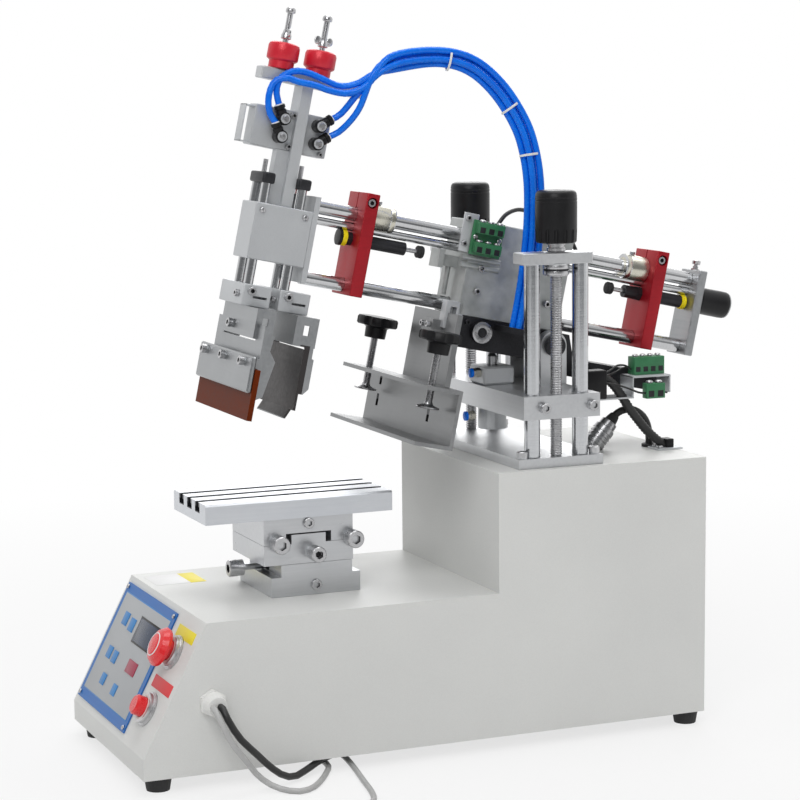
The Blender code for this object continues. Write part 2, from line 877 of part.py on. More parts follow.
def cabinet():
    half = cabinet_width / 2
    shell = plate(machine_frame, cabinet_outline(0), -half, half, "X")
    hollow = plate(machine_frame, cabinet_outline(cabinet_sheet),
                   -half + cabinet_sheet, half - cabinet_sheet, "X")
    middle = lip_y + service_hole_station
    service_hole = box(machine_frame,
                       (-service_hole_width / 2, middle - service_hole_length / 2,
                        foot_height - cut_overrun),
                       (service_hole_width / 2, middle + service_hole_length / 2,
                        foot_height + cabinet_sheet + cut_overrun))
    collars = []
    bores = []
    for side, climb in button_places():
        collars.append(rod(slope_frame, (side, climb, -weld_depth),
                           (side, climb, button_flange_height), button_flange_radius,
                           end_radius=button_flange_radius - button_flange_taper))
        bores.append(rod(slope_frame, (side, climb, -cabinet_sheet - cut_overrun),
                         (side, climb, button_flange_height + cut_overrun),
                         button_bore_radius))
    finish("cabinet", shell, white_paint, collars, [hollow, service_hole] + bores)


def feet():
    stations = {"front": foot_front_station, "rear": foot_rear_station}
    sides = {"near": foot_side, "far": -foot_side}
    for end, station in stations.items():
        for side, across in sides.items():
            shape = rod(machine_frame, (across, lip_y + station, 0),
                        (across, lip_y + station, foot_height - contact_gap),
                        foot_bottom_radius, end_radius=foot_top_radius)
            finish(f"foot_{end}_{side}", shape, black_rubber)


def control_panel():
    half_width = panel_width / 2
    half_height = panel_height / 2
    face = box(slope_frame,
               (panel_side - half_width, panel_climb - half_height, contact_gap),
               (panel_side + half_width, panel_climb + half_height,
                contact_gap + panel_thickness))
    finish("control_panel", face, panel_blue)


def estop_button():
    head = button_flange_height + contact_gap + estop_travel + contact_gap
    foot = -cabinet_sheet
    profile = [(estop_head_radius * across, head + estop_head_height * up)
               for across, up in estop_dome_shares]
    profile += [(estop_stem_radius, head), (estop_stem_radius, foot), (0, foot)]
    shape = turned(slope_frame, (button_side, estop_climb, 0), profile)
    finish("estop_button", shape, button_red)


def start_button():
    foot = -cabinet_sheet
    edge = start_cap_radius * start_chamfer_share
    profile = [(0, start_cap_height),
               (start_cap_radius - edge, start_cap_height),
               (start_cap_radius, start_cap_height - edge),
               (start_cap_radius, foot),
               (0, foot)]
    shape = turned(slope_frame, (button_side, start_climb, 0), profile)
    finish("start_button", shape, button_red)


# Gland and cords
def cord_gland():
    wall = cabinet_width / 2 + contact_gap
    place = (wall, lip_y + gland_station, gland_height)
    nut_end = wall + gland_nut_length
    nut = rod(machine_frame, place, (nut_end, place[1], place[2]), gland_nut_radius, steps=6)
    dome = rod(machine_frame, (nut_end - weld_depth, place[1], place[2]),
               (nut_end + gland_dome_length, place[1], place[2]),
               gland_nut_radius * gland_dome_share, end_radius=gland_mouth_radius)
    finish("cord_gland", nut, gland_white, [dome])


def heading_end(points, radius):
    """End of a cord that stops one gap short of a coil's straight run."""
    heading = (points[1] - points[0]).normalized()
    return points[0] - heading * contact_gap, heading


def coiled_cord(name, route, centre, outer, radius, loops, start_angle, rest_height, look,
                coil_name):
    coil = coil_points(centre, outer, radius, loops, start_angle, rest_height)
    end, heading = heading_end(coil, radius)
    laid = smooth_route(list(route[1:]) + [end - heading * 2 * radius],
                        cord_point_spacing)
    free = [Vector(route[0])] + laid + [end]
    cord(name, free, radius, look)
    cord(coil_name, coil, radius, look, coil_sides_resolution)
    length = sum((after - before).length for before, after in zip(free, free[1:]))
    turns = sum((after - before).length for before, after in zip(coil, coil[1:]))
    print(name, "free length", round(length, 3), "m, coil", round(turns, 3),
          "m, least gap in the coil", round(least_gap(coil, radius) * 1000, 2), "mm")
    return coil[-1], (coil[-1] - coil[-2]).normalized()


def turned_to(shape, place, heading):
    """Points a shape's own +Y along a level heading and sets its origin at a place."""
    shape.location = place
    shape.rotation_euler = (0, 0, math.atan2(-heading.x, heading.y))


def mains_plug(end, heading):
    start = end + heading * contact_gap
    outline = mirrored([(plug_body_half_width * across, plug_body_length * along)
                        for across, along in plug_shoulder_shares])
    body = plate(None, outline, -plug_body_half_height, plug_body_half_height)
    pins = []
    for side in both_sides:
        across = side * plug_pin_spacing / 2
        pin = rod(body, (across, plug_body_length - weld_depth, 0),
                  (across, plug_body_length + plug_pin_length, 0),
                  plug_pin_radius, tiny_steps)
        pins.append(pin)
    turned_to(body, start, heading)
    finish("mains_plug", body, black_rubber, pins)


def signal_connector(end, heading):
    start = end + heading * contact_gap
    body = rod(None, (0, -connector_body_length / 2, 0), (0, connector_body_length / 2, 0),
               connector_body_radius, small_steps)
    nose = rod(body, (0, connector_body_length / 2 - weld_depth, 0),
               (0, connector_body_length / 2 + connector_nose_length, 0),
               connector_nose_radius, small_steps)
    turned_to(body, start + heading * connector_body_length / 2, heading)
    finish("signal_connector", body, dull_steel, [nose])


def cords():
    mains_end, mains_heading = coiled_cord(
        "mains_cord", mains_route, mains_coil_centre, mains_coil_outer_radius,
        mains_radius, mains_loops_per_layer, mains_coil_start,
        plug_body_half_height + coil_floor_gap, black_rubber, "mains_coil")
    mains_plug(mains_end, mains_heading)
    signal_end, signal_heading = coiled_cord(
        "signal_cable", signal_route, signal_coil_centre, signal_coil_outer_radius,
        signal_radius, signal_loops_per_layer, signal_coil_start,
        connector_body_radius + coil_floor_gap, cable_grey, "signal_coil")
    signal_connector(signal_end, signal_heading)


# Lift
def column_places():
    return [(side * column_side, columns_y + end * column_spacing / 2)
            for side in both_sides for end in both_sides]


def base_plate():
    low = tall_z + contact_gap
    half_length = base_plate_length / 2
    slab = box(machine_frame, (-base_plate_half_width, columns_y - half_length, low),
               (base_plate_half_width, columns_y + half_length, base_top_z))
    screws = []
    for side in both_sides:
        for end in both_sides:
            across = side * (base_plate_half_width - plate_screw_inset)
            along = columns_y + end * (half_length - plate_screw_inset)
            screws.append(rod(machine_frame, (across, along, base_top_z - weld_depth),
                              (across, along, base_top_z + plate_screw_height),
                              plate_screw_radius, tiny_steps))
    finish("base_plate", slab, aluminium, screws)


def columns():
    names = ("column_near_rear", "column_near_front", "column_far_rear", "column_far_front")
    low = base_top_z + contact_gap
    for name, (across, along) in zip(names, column_places()):
        shape = rod(machine_frame, (across, along, low), (across, along, low + column_height),
                    column_radius)
        finish(name, shape, bright_steel)


def top_bars():
    middle = columns_y + top_bar_shift
    high = top_bar_z + top_bar_thickness
    for name, side in (("top_bar_near", 1), ("top_bar_far", -1)):
        inner = side * top_bar_inner
        outer = side * top_bar_outer
        bar = box(machine_frame, (min(inner, outer), middle - top_bar_length / 2, top_bar_z),
                  (max(inner, outer), middle + top_bar_length / 2, high), top_bar_bevel)
        across = side * column_side
        nut = rod(machine_frame, (across, columns_y, top_bar_z - nut_flange_height),
                  (across, columns_y, top_bar_z + weld_depth), nut_flange_radius)
        bore = rod(machine_frame,
                   (across, columns_y, top_bar_z - nut_flange_height - cut_overrun),
                   (across, columns_y, high + cut_overrun), nut_bore_radius)
        finish(name, bar, aluminium, [nut], [bore])


def height_screws():
    low = base_top_z + contact_gap
    neck = top_bar_z + top_bar_thickness + contact_gap
    knob = neck + screw_neck_height
    top = knob + knob_height
    profile = [(0, top), (knob_radius - knob_dome, top), (knob_radius, top - knob_dome),
               (knob_radius, knob), (screw_neck_radius, knob), (screw_neck_radius, neck),
               (screw_radius, neck), (screw_radius, low), (0, low)]
    for name, side in (("height_screw_near", 1), ("height_screw_far", -1)):
        across = side * column_side
        shape = turned(machine_frame, (across, columns_y, 0), profile)
        flutes = []
        for index in range(knob_flutes):
            angle = 2 * math.pi * index / knob_flutes
            place = (across + knob_radius * math.cos(angle),
                     columns_y + knob_radius * math.sin(angle))
            flutes.append(rod(machine_frame, (*place, knob - cut_overrun),
                              (*place, knob + knob_flute_height), knob_flute_radius, 8))
        finish(name, shape, black_plastic, cut=flutes)


def lift_block():
    half_length = lift_length / 2
    body = box(lift_frame, (-lift_half_width, columns_y - half_length, lift_bottom_z),
               (lift_half_width, columns_y + half_length, lift_top_z))
    joined = []
    cut = []
    low = lift_bottom_z - cut_overrun
    high = lift_top_z + cut_overrun
    for across, along in column_places():
        cut.append(rod(lift_frame, (across, along, low), (across, along, high),
                       column_radius + guide_clearance))
    for side in both_sides:
        across = side * column_side
        cut.append(rod(lift_frame, (across, columns_y, low), (across, columns_y, high),
                       screw_radius + guide_clearance))
        inner = side * (beam_half_width + post_gap)
        outer = side * (beam_half_width + post_gap + post_thickness)
        half_post = post_length / 2
        outline = [(pivot_y - half_post, lift_top_z - weld_depth),
                   (pivot_y + half_post, lift_top_z - weld_depth)]
        for index in range(small_steps + 1):
            angle = math.pi * index / small_steps
            outline.append((pivot_y + half_post * math.cos(angle),
                            pivot_z + half_post * math.sin(angle)))
        joined.append(plate(lift_frame, outline, min(inner, outer), max(inner, outer), "X"))
        cut.append(rod(lift_frame, (min(inner, outer) - cut_overrun, pivot_y, pivot_z),
                       (max(inner, outer) + cut_overrun, pivot_y, pivot_z),
                       pin_radius + guide_clearance))
        for end in both_sides:
            along = columns_y + end * column_spacing / 2 + lift_screw_offset
            wall = side * (lift_half_width - weld_depth)
            head = side * (lift_half_width + lift_screw_height)
            middle = (lift_bottom_z + lift_top_z) / 2
            joined.append(rod(lift_frame, (wall, along, middle), (head, along, middle),
                              lift_screw_radius, tiny_steps))
    cut.append(rod(lift_frame, (0, cylinder_y, low), (0, cylinder_y, high),
                   cylinder_tail_radius + guide_clearance))
    finish("lift_block", body, aluminium, joined, cut)


def tilt_cylinder():
    half = cylinder_side / 2
    low = lift_top_z + contact_gap
    head = box(lift_frame, (-half, cylinder_y - half, low),
               (half, cylinder_y + half, cylinder_top_z), cylinder_bevel)
    tail = rod(lift_frame, (0, cylinder_y, lift_bottom_z - cylinder_tail_drop),
               (0, cylinder_y, low + weld_depth), cylinder_tail_radius)
    bore = rod(lift_frame, (0, cylinder_y, cylinder_top_z - cylinder_bore_depth),
               (0, cylinder_y, cylinder_top_z + cut_overrun),
               cylinder_rod_radius + rod_clearance)
    finish("tilt_cylinder", head, aluminium, [tail], [bore])


def tilt_rod():
    high = cylinder_rod_top_z
    profile = [(0, high), (cylinder_tip_radius, high),
               (cylinder_rod_radius, high - cylinder_tip_length),
               (cylinder_rod_radius, high - cylinder_rod_length),
               (0, high - cylinder_rod_length)]
    shape = turned(lift_frame, (0, cylinder_y, 0), profile, steps=small_steps)
    finish("tilt_rod", shape, bright_steel)


# Tilting head
def tilt_beam():
    outline = [(beam_front, beam_front_bottom),
               (beam_waist_start, beam_front_bottom),
               (beam_waist_start + beam_waist_run, beam_rear_bottom),
               (beam_rear, beam_rear_bottom),
               (beam_rear, beam_rear_top),
               (beam_step_start + beam_step_run, beam_rear_top),
               (beam_step_start, beam_front_top),
               (beam_front, beam_front_top)]
    body = plate(head_frame, outline, -beam_half_width, beam_half_width, "X")
    pivot = (datum_forward, -datum_above_pivot)
    reach = beam_half_width + post_gap + post_thickness + contact_gap
    pin = rod(head_frame, (-reach - weld_depth, *pivot), (reach + weld_depth, *pivot),
              pin_radius)
    joined = [pin]
    for side in both_sides:
        joined.append(rod(head_frame, (side * reach, *pivot),
                          (side * (reach + pin_head_height), *pivot), pin_head_radius))
        joined.append(rod(head_frame,
                          (side * (beam_half_width - weld_depth), hanger_bolt_place, pivot[1]),
                          (side * (beam_half_width + pin_head_height), hanger_bolt_place,
                           pivot[1]), pin_head_radius))
    half_lug = hose_lug_length / 2
    joined.append(box(head_frame,
                      (beam_half_width - weld_depth, hose_lug_place - half_lug,
                       hose_lug_top - hose_lug_thickness),
                      (beam_half_width + hose_lug_reach, hose_lug_place + half_lug,
                       hose_lug_top)))
    finish("tilt_beam", body, black_metal, joined)


def rod_places():
    return ((upper_tube_place, upper_tube_radius), (piston_rod_place, piston_rod_radius),
            (0, lower_rod_radius))


def rod_bores(parent, low, high):
    """Running bores for the three stroke rods through whatever lies between two places."""
    return [rod(parent, (0, low - cut_overrun, height), (0, high + cut_overrun, height),
                radius + rod_clearance) for height, radius in rod_places()]


def head_block():
    body = box(head_frame, (-head_half_width, head_front, head_bottom),
               (head_half_width, head_rear, head_top), head_bevel)
    joined = []
    for height in ridge_heights:
        joined.append(rod(head_frame, (head_half_width, ridge_front, height),
                          (head_half_width, ridge_front + ridge_length, height),
                          ridge_radius, tiny_steps))
    joined.append(box(head_frame, (-bumper_half_width, bumper_front, bumper_bottom),
                      (bumper_half_width, bumper_front + bumper_thickness, bumper_top)))
    joined.append(box(head_frame,
                      (-bumper_arm_half_width, bumper_front + bumper_thickness - weld_depth,
                       bumper_arm_bottom),
                      (bumper_arm_half_width, head_front + weld_depth, bumper_arm_top)))
    joined.append(rod(head_frame, (0, bumper_post_place, bumper_post_bottom),
                      (0, bumper_post_place, bumper_arm_bottom + weld_depth),
                      bumper_post_radius, tiny_steps))
    finish("head_block", body, aluminium, joined, rod_bores(head_frame, head_front, head_rear))


# Stroke assembly
def stroke_rods():
    tube = rod(stroke_frame, (0, rods_front, upper_tube_place),
               (0, rods_rear, upper_tube_place), upper_tube_radius)
    front_collar = front_stop_place + stop_thickness / 2 + contact_gap
    rear_collar = rear_stop_place - stop_thickness / 2 - contact_gap
    collars = []
    for low, high in ((front_collar, front_collar + collar_length),
                      (rear_collar - collar_length, rear_collar)):
        collars.append(rod(stroke_frame, (0, low, upper_tube_place),
                           (0, high, upper_tube_place), collar_radius))
    bore = rod(stroke_frame, (0, rods_front - cut_overrun, piston_rod_place),
               (0, rods_rear + cut_overrun, piston_rod_place),
               piston_rod_radius + rod_clearance)
    finish("upper_tube", tube, bright_steel, collars, [bore])
    thin = rod(stroke_frame, (0, rods_front, piston_rod_place),
               (0, rods_rear, piston_rod_place), piston_rod_radius, small_steps)
    finish("piston_rod", thin, bright_steel)
    lower = rod(stroke_frame, (0, rods_front, 0), (0, rods_rear, 0), lower_rod_radius)
    finish("lower_rod", lower, bright_steel)


def stop_block(name, place):
    half = stop_thickness / 2
    outline = mirrored([(stop_half_width - stop_chamfer, stop_top),
                        (stop_half_width, stop_top - stop_chamfer),
                        (stop_half_width, stop_bottom + stop_chamfer),
                        (stop_half_width - stop_chamfer, stop_bottom)])
    body = plate(stroke_frame, outline, place - half, place + half, "Y")
    bolt = rod(stroke_frame, (stop_bolt_side, place, stop_top - weld_depth),
               (stop_bolt_side, place, stop_top + stop_bolt_height),
               stop_bolt_radius, tiny_steps)
    slit = box(stroke_frame, (-stop_slit / 2, place - half - cut_overrun, upper_tube_place),
               (stop_slit / 2, place + half + cut_overrun, stop_top + cut_overrun))
    cut = rod_bores(stroke_frame, place - half, place + half)
    cut.append(rod(stroke_frame, (0, place - half - cut_overrun, damper_place),
                   (0, place + half + cut_overrun, damper_place),
                   damper_radius + rod_clearance))
    finish(name, body, red_anodised, [bolt], cut + [slit])


def damper(name, place, reach, inward):
    """A shock absorber through a stop block. Inward is the direction of the head."""
    inner = place + inward * reach
    outer = inner - inward * damper_length
    ring = outer + inward * damper_ring_length
    body = rod(stroke_frame, (0, inner, damper_place), (0, outer, damper_place),
               damper_radius)
    cap = rod(stroke_frame, (0, outer, damper_place), (0, ring, damper_place),
              damper_ring_radius)
    nut_face = place + inward * (stop_thickness / 2 + contact_gap)
    nut = rod(stroke_frame, (0, nut_face, damper_place),
              (0, nut_face + inward * damper_nut_length, damper_place),
              damper_nut_radius, 6, spin=hexagon_flat)
    bore = rod(stroke_frame, (0, inner + inward * cut_overrun, damper_place),
               (0, inner - inward * plunger_bore_depth, damper_place),
               plunger_bore_radius, tiny_steps)
    finish(name, body, black_metal, [cap, nut], [bore])


def plunger(name, place, reach, inward):
    inner = place + inward * reach
    tip = inner + inward * plunger_reach
    stem = rod(stroke_frame, (0, inner - inward * plunger_stem_sink, damper_place),
               (0, tip + inward * weld_depth, damper_place), plunger_radius, tiny_steps)
    pad = rod(stroke_frame, (0, tip, damper_place),
              (0, tip + inward * plunger_tip_length, damper_place), plunger_tip_radius,
              small_steps)
    finish(name, stem, black_rubber, [pad])


def stops():
    stop_block("front_stop_block", front_stop_place)
    stop_block("rear_stop_block", rear_stop_place)
    damper("front_damper", front_stop_place, front_damper_reach, 1)
    damper("rear_damper", rear_stop_place, rear_damper_reach, -1)
    plunger("front_plunger", front_stop_place, front_damper_reach, 1)
    plunger("rear_plunger", rear_stop_place, rear_damper_reach, -1)


def end_plate():
    body = box(stroke_frame, (-end_plate_half_width, end_plate_front, end_plate_bottom),
               (end_plate_half_width, end_plate_rear, end_plate_top), end_plate_bevel)
    knob = rod(stroke_frame, (0, end_plate_rear - weld_depth, end_knob_place),
               (0, knob_end, end_knob_place), end_knob_radius)
    bolt = rod(stroke_frame, (0, (end_plate_front + end_plate_rear) / 2,
                              end_plate_top - weld_depth),
               (0, (end_plate_front + end_plate_rear) / 2, end_plate_top + stop_bolt_height),
               end_plate_bolt_radius, tiny_steps)
    finish("end_plate", body, dull_steel, [knob, bolt])


# Carriage with the blade lifts
def guide_bores(parent, low, high):
    bores = []
    for place in (front_guide_place, rear_guide_place):
        for side in both_sides:
            bores.append(rod(parent, (side * guide_rod_side, place, low - cut_overrun),
                             (side * guide_rod_side, place, high + cut_overrun),
                             guide_rod_radius + rod_clearance))
    return bores


def carriage_block():
    body = box(stroke_frame, (-carriage_half_width, carriage_front, carriage_bottom),
               (carriage_half_width, carriage_rear, carriage_top), carriage_bevel)
    back = box(stroke_frame,
               (-back_plate_half_width, carriage_rear - weld_depth, back_plate_bottom),
               (back_plate_half_width, rods_front - contact_gap, back_plate_top))
    finish("carriage_block", body, aluminium, [back],
           guide_bores(stroke_frame, carriage_bottom, carriage_top))


def actuator_body():
    post_rear = centre_post_front + centre_post_depth
    low = carriage_top + contact_gap
    crossbar_top = crossbar_bottom + crossbar_thickness
    post = box(stroke_frame, (-centre_post_half_width, centre_post_front, low),
               (centre_post_half_width, post_rear, crossbar_bottom + weld_depth))
    rail = box(stroke_frame, (-rail_half_width, centre_post_front - rail_depth, low),
               (rail_half_width, centre_post_front + weld_depth,
                port_block_bottom + weld_depth))
    ports = box(stroke_frame, (port_block_far, port_block_front, port_block_bottom),
                (port_block_near, port_block_rear, port_block_bottom + port_block_height),
                port_block_bevel)
    crossbar = box(stroke_frame, (-crossbar_half_width, crossbar_front, crossbar_bottom),
                   (crossbar_half_width, crossbar_rear, crossbar_top), crossbar_bevel)
    elbows = []
    for along in elbow_places:
        for height in elbow_heights:
            place = port_block_bottom + height
            elbows.append(rod(stroke_frame, (port_block_near - weld_depth, along, place),
                              (port_block_near + elbow_length, along, place),
                              elbow_radius, small_steps))
    finish("actuator_body", post, aluminium, [rail, ports, crossbar] + elbows)


def stroke_knob(name, place):
    low = crossbar_bottom + crossbar_thickness + contact_gap
    base = low + stroke_knob_base_height
    top = base + stroke_knob_height
    bolt = top + stroke_bolt_height
    head = bolt + stroke_bolt_head_height
    hub = top + wing_rise
    profile = [(0, head), (stroke_bolt_head_radius * knob_round_share, head),
               (stroke_bolt_head_radius, bolt + stroke_bolt_head_height / 2),
               (stroke_bolt_head_radius, bolt), (stroke_bolt_radius, bolt),
               (stroke_bolt_radius, hub + wing_height), (wing_hub_radius, hub + wing_height),
               (wing_hub_radius, hub), (stroke_bolt_radius, hub), (stroke_bolt_radius, top),
               (stroke_knob_radius - stroke_knob_bevel, top),
               (stroke_knob_radius, top - stroke_knob_bevel), (stroke_knob_radius, base),
               (stroke_knob_base_radius, base), (stroke_knob_base_radius, low), (0, low)]
    shape = turned(stroke_frame, (0, place, 0), profile)
    wings = []
    for side in both_sides:
        inner = side * (wing_hub_radius - weld_depth)
        outer = side * wing_half_span
        wings.append(box(stroke_frame,
                         (min(inner, outer), place - wing_thickness / 2, hub + weld_depth),
                         (max(inner, outer), place + wing_thickness / 2,
                          hub + wing_height + wing_lift)))
    finish(name, shape, red_anodised, wings)


def blade_guide(name, parent, place, clamp_front, clamp_rear):
    yoke_top = yoke_bottom + yoke_height
    yoke = box(parent, (-yoke_half_width, place - yoke_half_depth, yoke_bottom),
               (yoke_half_width, place + yoke_half_depth, yoke_top), yoke_bevel)
    joined = [rod(parent, (0, place, yoke_top - weld_depth),
                  (0, place, port_block_bottom - contact_gap), yoke_pin_radius, tiny_steps)]
    for side in both_sides:
        across = side * guide_rod_side
        joined.append(rod(parent, (across, place, clamp_bar_bottom + guide_rod_foot),
                          (across, place, yoke_bottom + weld_depth), guide_rod_radius))
    joined.append(box(parent, (clamp_bar_far, clamp_front, clamp_bar_bottom),
                      (clamp_bar_near, clamp_rear, clamp_bar_top), clamp_bar_bevel))
    middle = (clamp_front + clamp_rear) / 2
    joined.append(rod(parent, (clamp_bar_near - weld_depth, middle - clamp_bolt_offset,
                               clamp_bolt_place),
                      (clamp_bar_near + clamp_bolt_height, middle - clamp_bolt_offset,
                       clamp_bolt_place), clamp_bolt_radius, tiny_steps))
    slot = box(parent, (clamp_bar_near - clamp_slot_depth, middle, clamp_slot_place),
               (clamp_bar_near + cut_overrun, clamp_rear + cut_overrun,
                clamp_slot_place + clamp_slot_height))
    finish(name, yoke, bright_steel, joined, [slot])


def saddle(parent, front, depth, top, height):
    """A folded sheet saddle: top, front and two sides, open below and behind."""
    outer = box(parent, (-saddle_half_width, front, top - height),
                (saddle_half_width, front + depth, top))
    inner = box(parent, (-saddle_half_width + saddle_sheet, front + saddle_sheet,
                         top - height - cut_overrun),
                (saddle_half_width - saddle_sheet, front + depth + cut_overrun,
                 top - saddle_sheet))
    middle = front + depth / 2
    window_low = top - height * window_share
    window = box(parent, (-saddle_half_width - cut_overrun, middle - window_width / 2,
                          window_low),
                 (saddle_half_width + cut_overrun, middle + window_width / 2,
                  window_low + window_height))
    return outer, [inner, window]


def squeegee_holder():
    shape, cut = saddle(squeegee_frame, saddle_front, saddle_depth, saddle_top, saddle_height)
    backing = box(squeegee_frame, (-backing_half_width, backing_front, backing_bottom),
                  (backing_half_width, backing_front + backing_thickness, backing_top))
    seat = box(squeegee_frame,
               (-saddle_half_width, saddle_front + saddle_sheet - weld_depth,
                saddle_top - saddle_height + weld_depth),
               (saddle_half_width, backing_front + weld_depth, backing_top))
    spacer = box(squeegee_frame, (-backing_half_width, jaw_front + jaw_thickness - weld_depth,
                                  spacer_bottom),
                 (backing_half_width, backing_front + weld_depth, spacer_top))
    jaw = box(squeegee_frame, (-jaw_half_width, jaw_front, jaw_bottom),
              (jaw_half_width, jaw_front + jaw_thickness, jaw_top), jaw_bevel)
    joined = [backing, seat, spacer, jaw]
    for side in both_sides:
        inner = side * (saddle_half_width - cheek_thickness)
        outer = side * saddle_half_width
        joined.append(plate(squeegee_frame, cheek_outline, min(inner, outer),
                            max(inner, outer), "X"))
    for side in jaw_screw_sides:
        joined.append(rod(squeegee_frame, (side, jaw_front + weld_depth, jaw_screw_place),
                          (side, jaw_front - holder_screw_height, jaw_screw_place),
                          holder_screw_radius, tiny_steps))
    joined.append(rod(squeegee_frame, (saddle_screw_side, saddle_front + weld_depth,
                                       saddle_screw_place),
                      (saddle_screw_side, saddle_front - holder_screw_height,
                       saddle_screw_place), holder_screw_radius, 6))
    finish("squeegee_holder", shape, dull_steel, joined, cut)


def squeegee_blade():
    front = jaw_front + jaw_thickness + contact_gap
    rear = backing_front - contact_gap
    body = box(squeegee_frame, (-blade_half_width, front, blade_bottom),
               (blade_half_width, rear, spacer_bottom - contact_gap))
    finish("squeegee_blade", body, blade_brown)


def flood_holder():
    shape, cut = saddle(flood_frame, flood_saddle_front, flood_saddle_depth,
                        flood_saddle_top, saddle_height)
    rear = flood_plate_front + flood_plate_thickness
    joined = []
    for side in both_sides:
        inner = side * (saddle_half_width - saddle_sheet)
        outer = side * saddle_half_width
        joined.append(plate(flood_frame, flood_neck_outline, min(inner, outer),
                            max(inner, outer), "X"))
    fold = flood_plate_bottom + flood_lip_height
    outline = mirrored([(flood_plate_half_width, flood_plate_top),
                        (flood_plate_half_width, fold)])
    joined.append(plate(flood_frame, outline, flood_plate_front, rear, "Y"))
    chamfer = flood_plate_half_width - flood_plate_chamfer
    lip = [(flood_plate_front, fold + weld_depth), (rear, fold + weld_depth),
           (rear - flood_lip_run, flood_plate_bottom),
           (flood_plate_front - flood_lip_run, flood_plate_bottom)]
    joined.append(plate(flood_frame, lip, -chamfer, chamfer, "X"))
    finish("flood_holder", shape, dull_steel, joined, cut)


# Stage
def stage_base():
    half = stage_side / 2
    groove_floor = stage_base_height + stage_rail_height - stage_groove_depth
    body = box(stage_frame, (-half, -half, contact_gap), (half, half, stage_base_height))
    rail = box(stage_frame, (-half, -half + rail_front_inset, stage_base_height - weld_depth),
               (half, half - rail_rear_inset, stage_base_height + stage_rail_height))
    groove = box(stage_frame, (-stage_groove_half_width, -half - cut_overrun, groove_floor),
                 (stage_groove_half_width, half + cut_overrun,
                  stage_base_height + stage_rail_height + cut_overrun))
    screw = rod(stage_frame, (half - weld_depth, 0, stage_base_height * 0.5),
                (half + set_screw_rise, 0, stage_base_height * 0.5),
                set_screw_radius, small_steps)
    finish("stage_base", body, aluminium, [rail, screw], [groove])


def cross_slide():
    half = stage_side / 2
    low = stage_base_height + stage_rail_height + slide_gap
    high = low + cross_slide_height
    body = box(cross_frame, (-half, -half, low), (half, half, high))
    tongue = stage_groove_half_width - slide_gap
    joined = [box(cross_frame, (-tongue, -half + rail_front_inset, low - cross_tongue_height),
                  (tongue, half - rail_rear_inset, low + weld_depth)),
              box(cross_frame, (-half, -upper_rail_half_width, high - weld_depth),
                  (half, upper_rail_half_width, high + upper_rail_height))]
    feed = high - side_feed_drop
    joined.append(rod(cross_frame, (half - weld_depth, side_feed_place, feed),
                      (half + side_boss_length, side_feed_place, feed), side_boss_radius))
    bore = rod(cross_frame, (half + side_boss_length + cut_overrun, side_feed_place, feed),
               (half + side_boss_length - side_bore_depth, side_feed_place, feed),
               feed_shaft_radius + guide_clearance, small_steps)
    finish("cross_slide", body, aluminium, joined, [bore])


def top_slide():
    half = stage_side / 2
    low = (stage_base_height + stage_rail_height + slide_gap + cross_slide_height
           + slide_gap)
    high = low + top_slide_height
    body = box(top_frame, (-half, -half, low), (half, half, high))
    notch = box(top_frame, (-half - cut_overrun, -upper_notch_half_width, low - cut_overrun),
                (half + cut_overrun, upper_notch_half_width, low + upper_notch_height))
    joined = []
    for along in lock_places:
        centre = low + lock_rise
        joined.append(rod(top_frame, (half + contact_gap, along, centre),
                          (half + contact_gap + lock_head_length, along, centre),
                          lock_head_radius))
        stem = min(max(along, lock_stem_inset - half), half - lock_stem_inset)
        joined.append(rod(top_frame, (half - weld_depth, stem, centre + lock_stem_rise),
                          (half + contact_gap + weld_depth, stem, centre + lock_stem_rise),
                          lock_stem_radius, tiny_steps))
    joined.append(rod(top_frame, (half - weld_depth, 0, high - set_screw_drop),
                      (half + set_screw_rise, 0, high - set_screw_drop),
                      set_screw_radius, small_steps))
    finish("top_slide", body, aluminium, joined, [notch])
    return high


def slotted_table(seat):
    low = seat + contact_gap
    high = low + table_thickness
    front = table_shift - table_length / 2
    rear = table_shift + table_length / 2
    outline = mirrored([(table_half_width - table_edge_bevel, high),
                        (table_half_width, high - table_edge_bevel),
                        (table_half_width, low)])
    body = plate(top_frame, outline, front, rear, "Y")
    slots = []
    for index in range(table_slots):
        across = (index - (table_slots - 1) / 2) * slot_pitch
        half_mouth = slot_mouth / 2
        half_base = slot_base / 2
        floor = high - slot_mouth_depth - slot_base_depth
        tee = [(across + half_mouth, high + cut_overrun),
               (across + half_mouth, high - slot_mouth_depth),
               (across + half_base, high - slot_mouth_depth),
               (across + half_base, floor),
               (across - half_base, floor),
               (across - half_base, high - slot_mouth_depth),
               (across - half_mouth, high - slot_mouth_depth),
               (across - half_mouth, high + cut_overrun)]
        slots.append(plate(top_frame, tee, front - cut_overrun, rear + cut_overrun, "Y"))
    finish("slotted_table", body, aluminium, cut=slots)


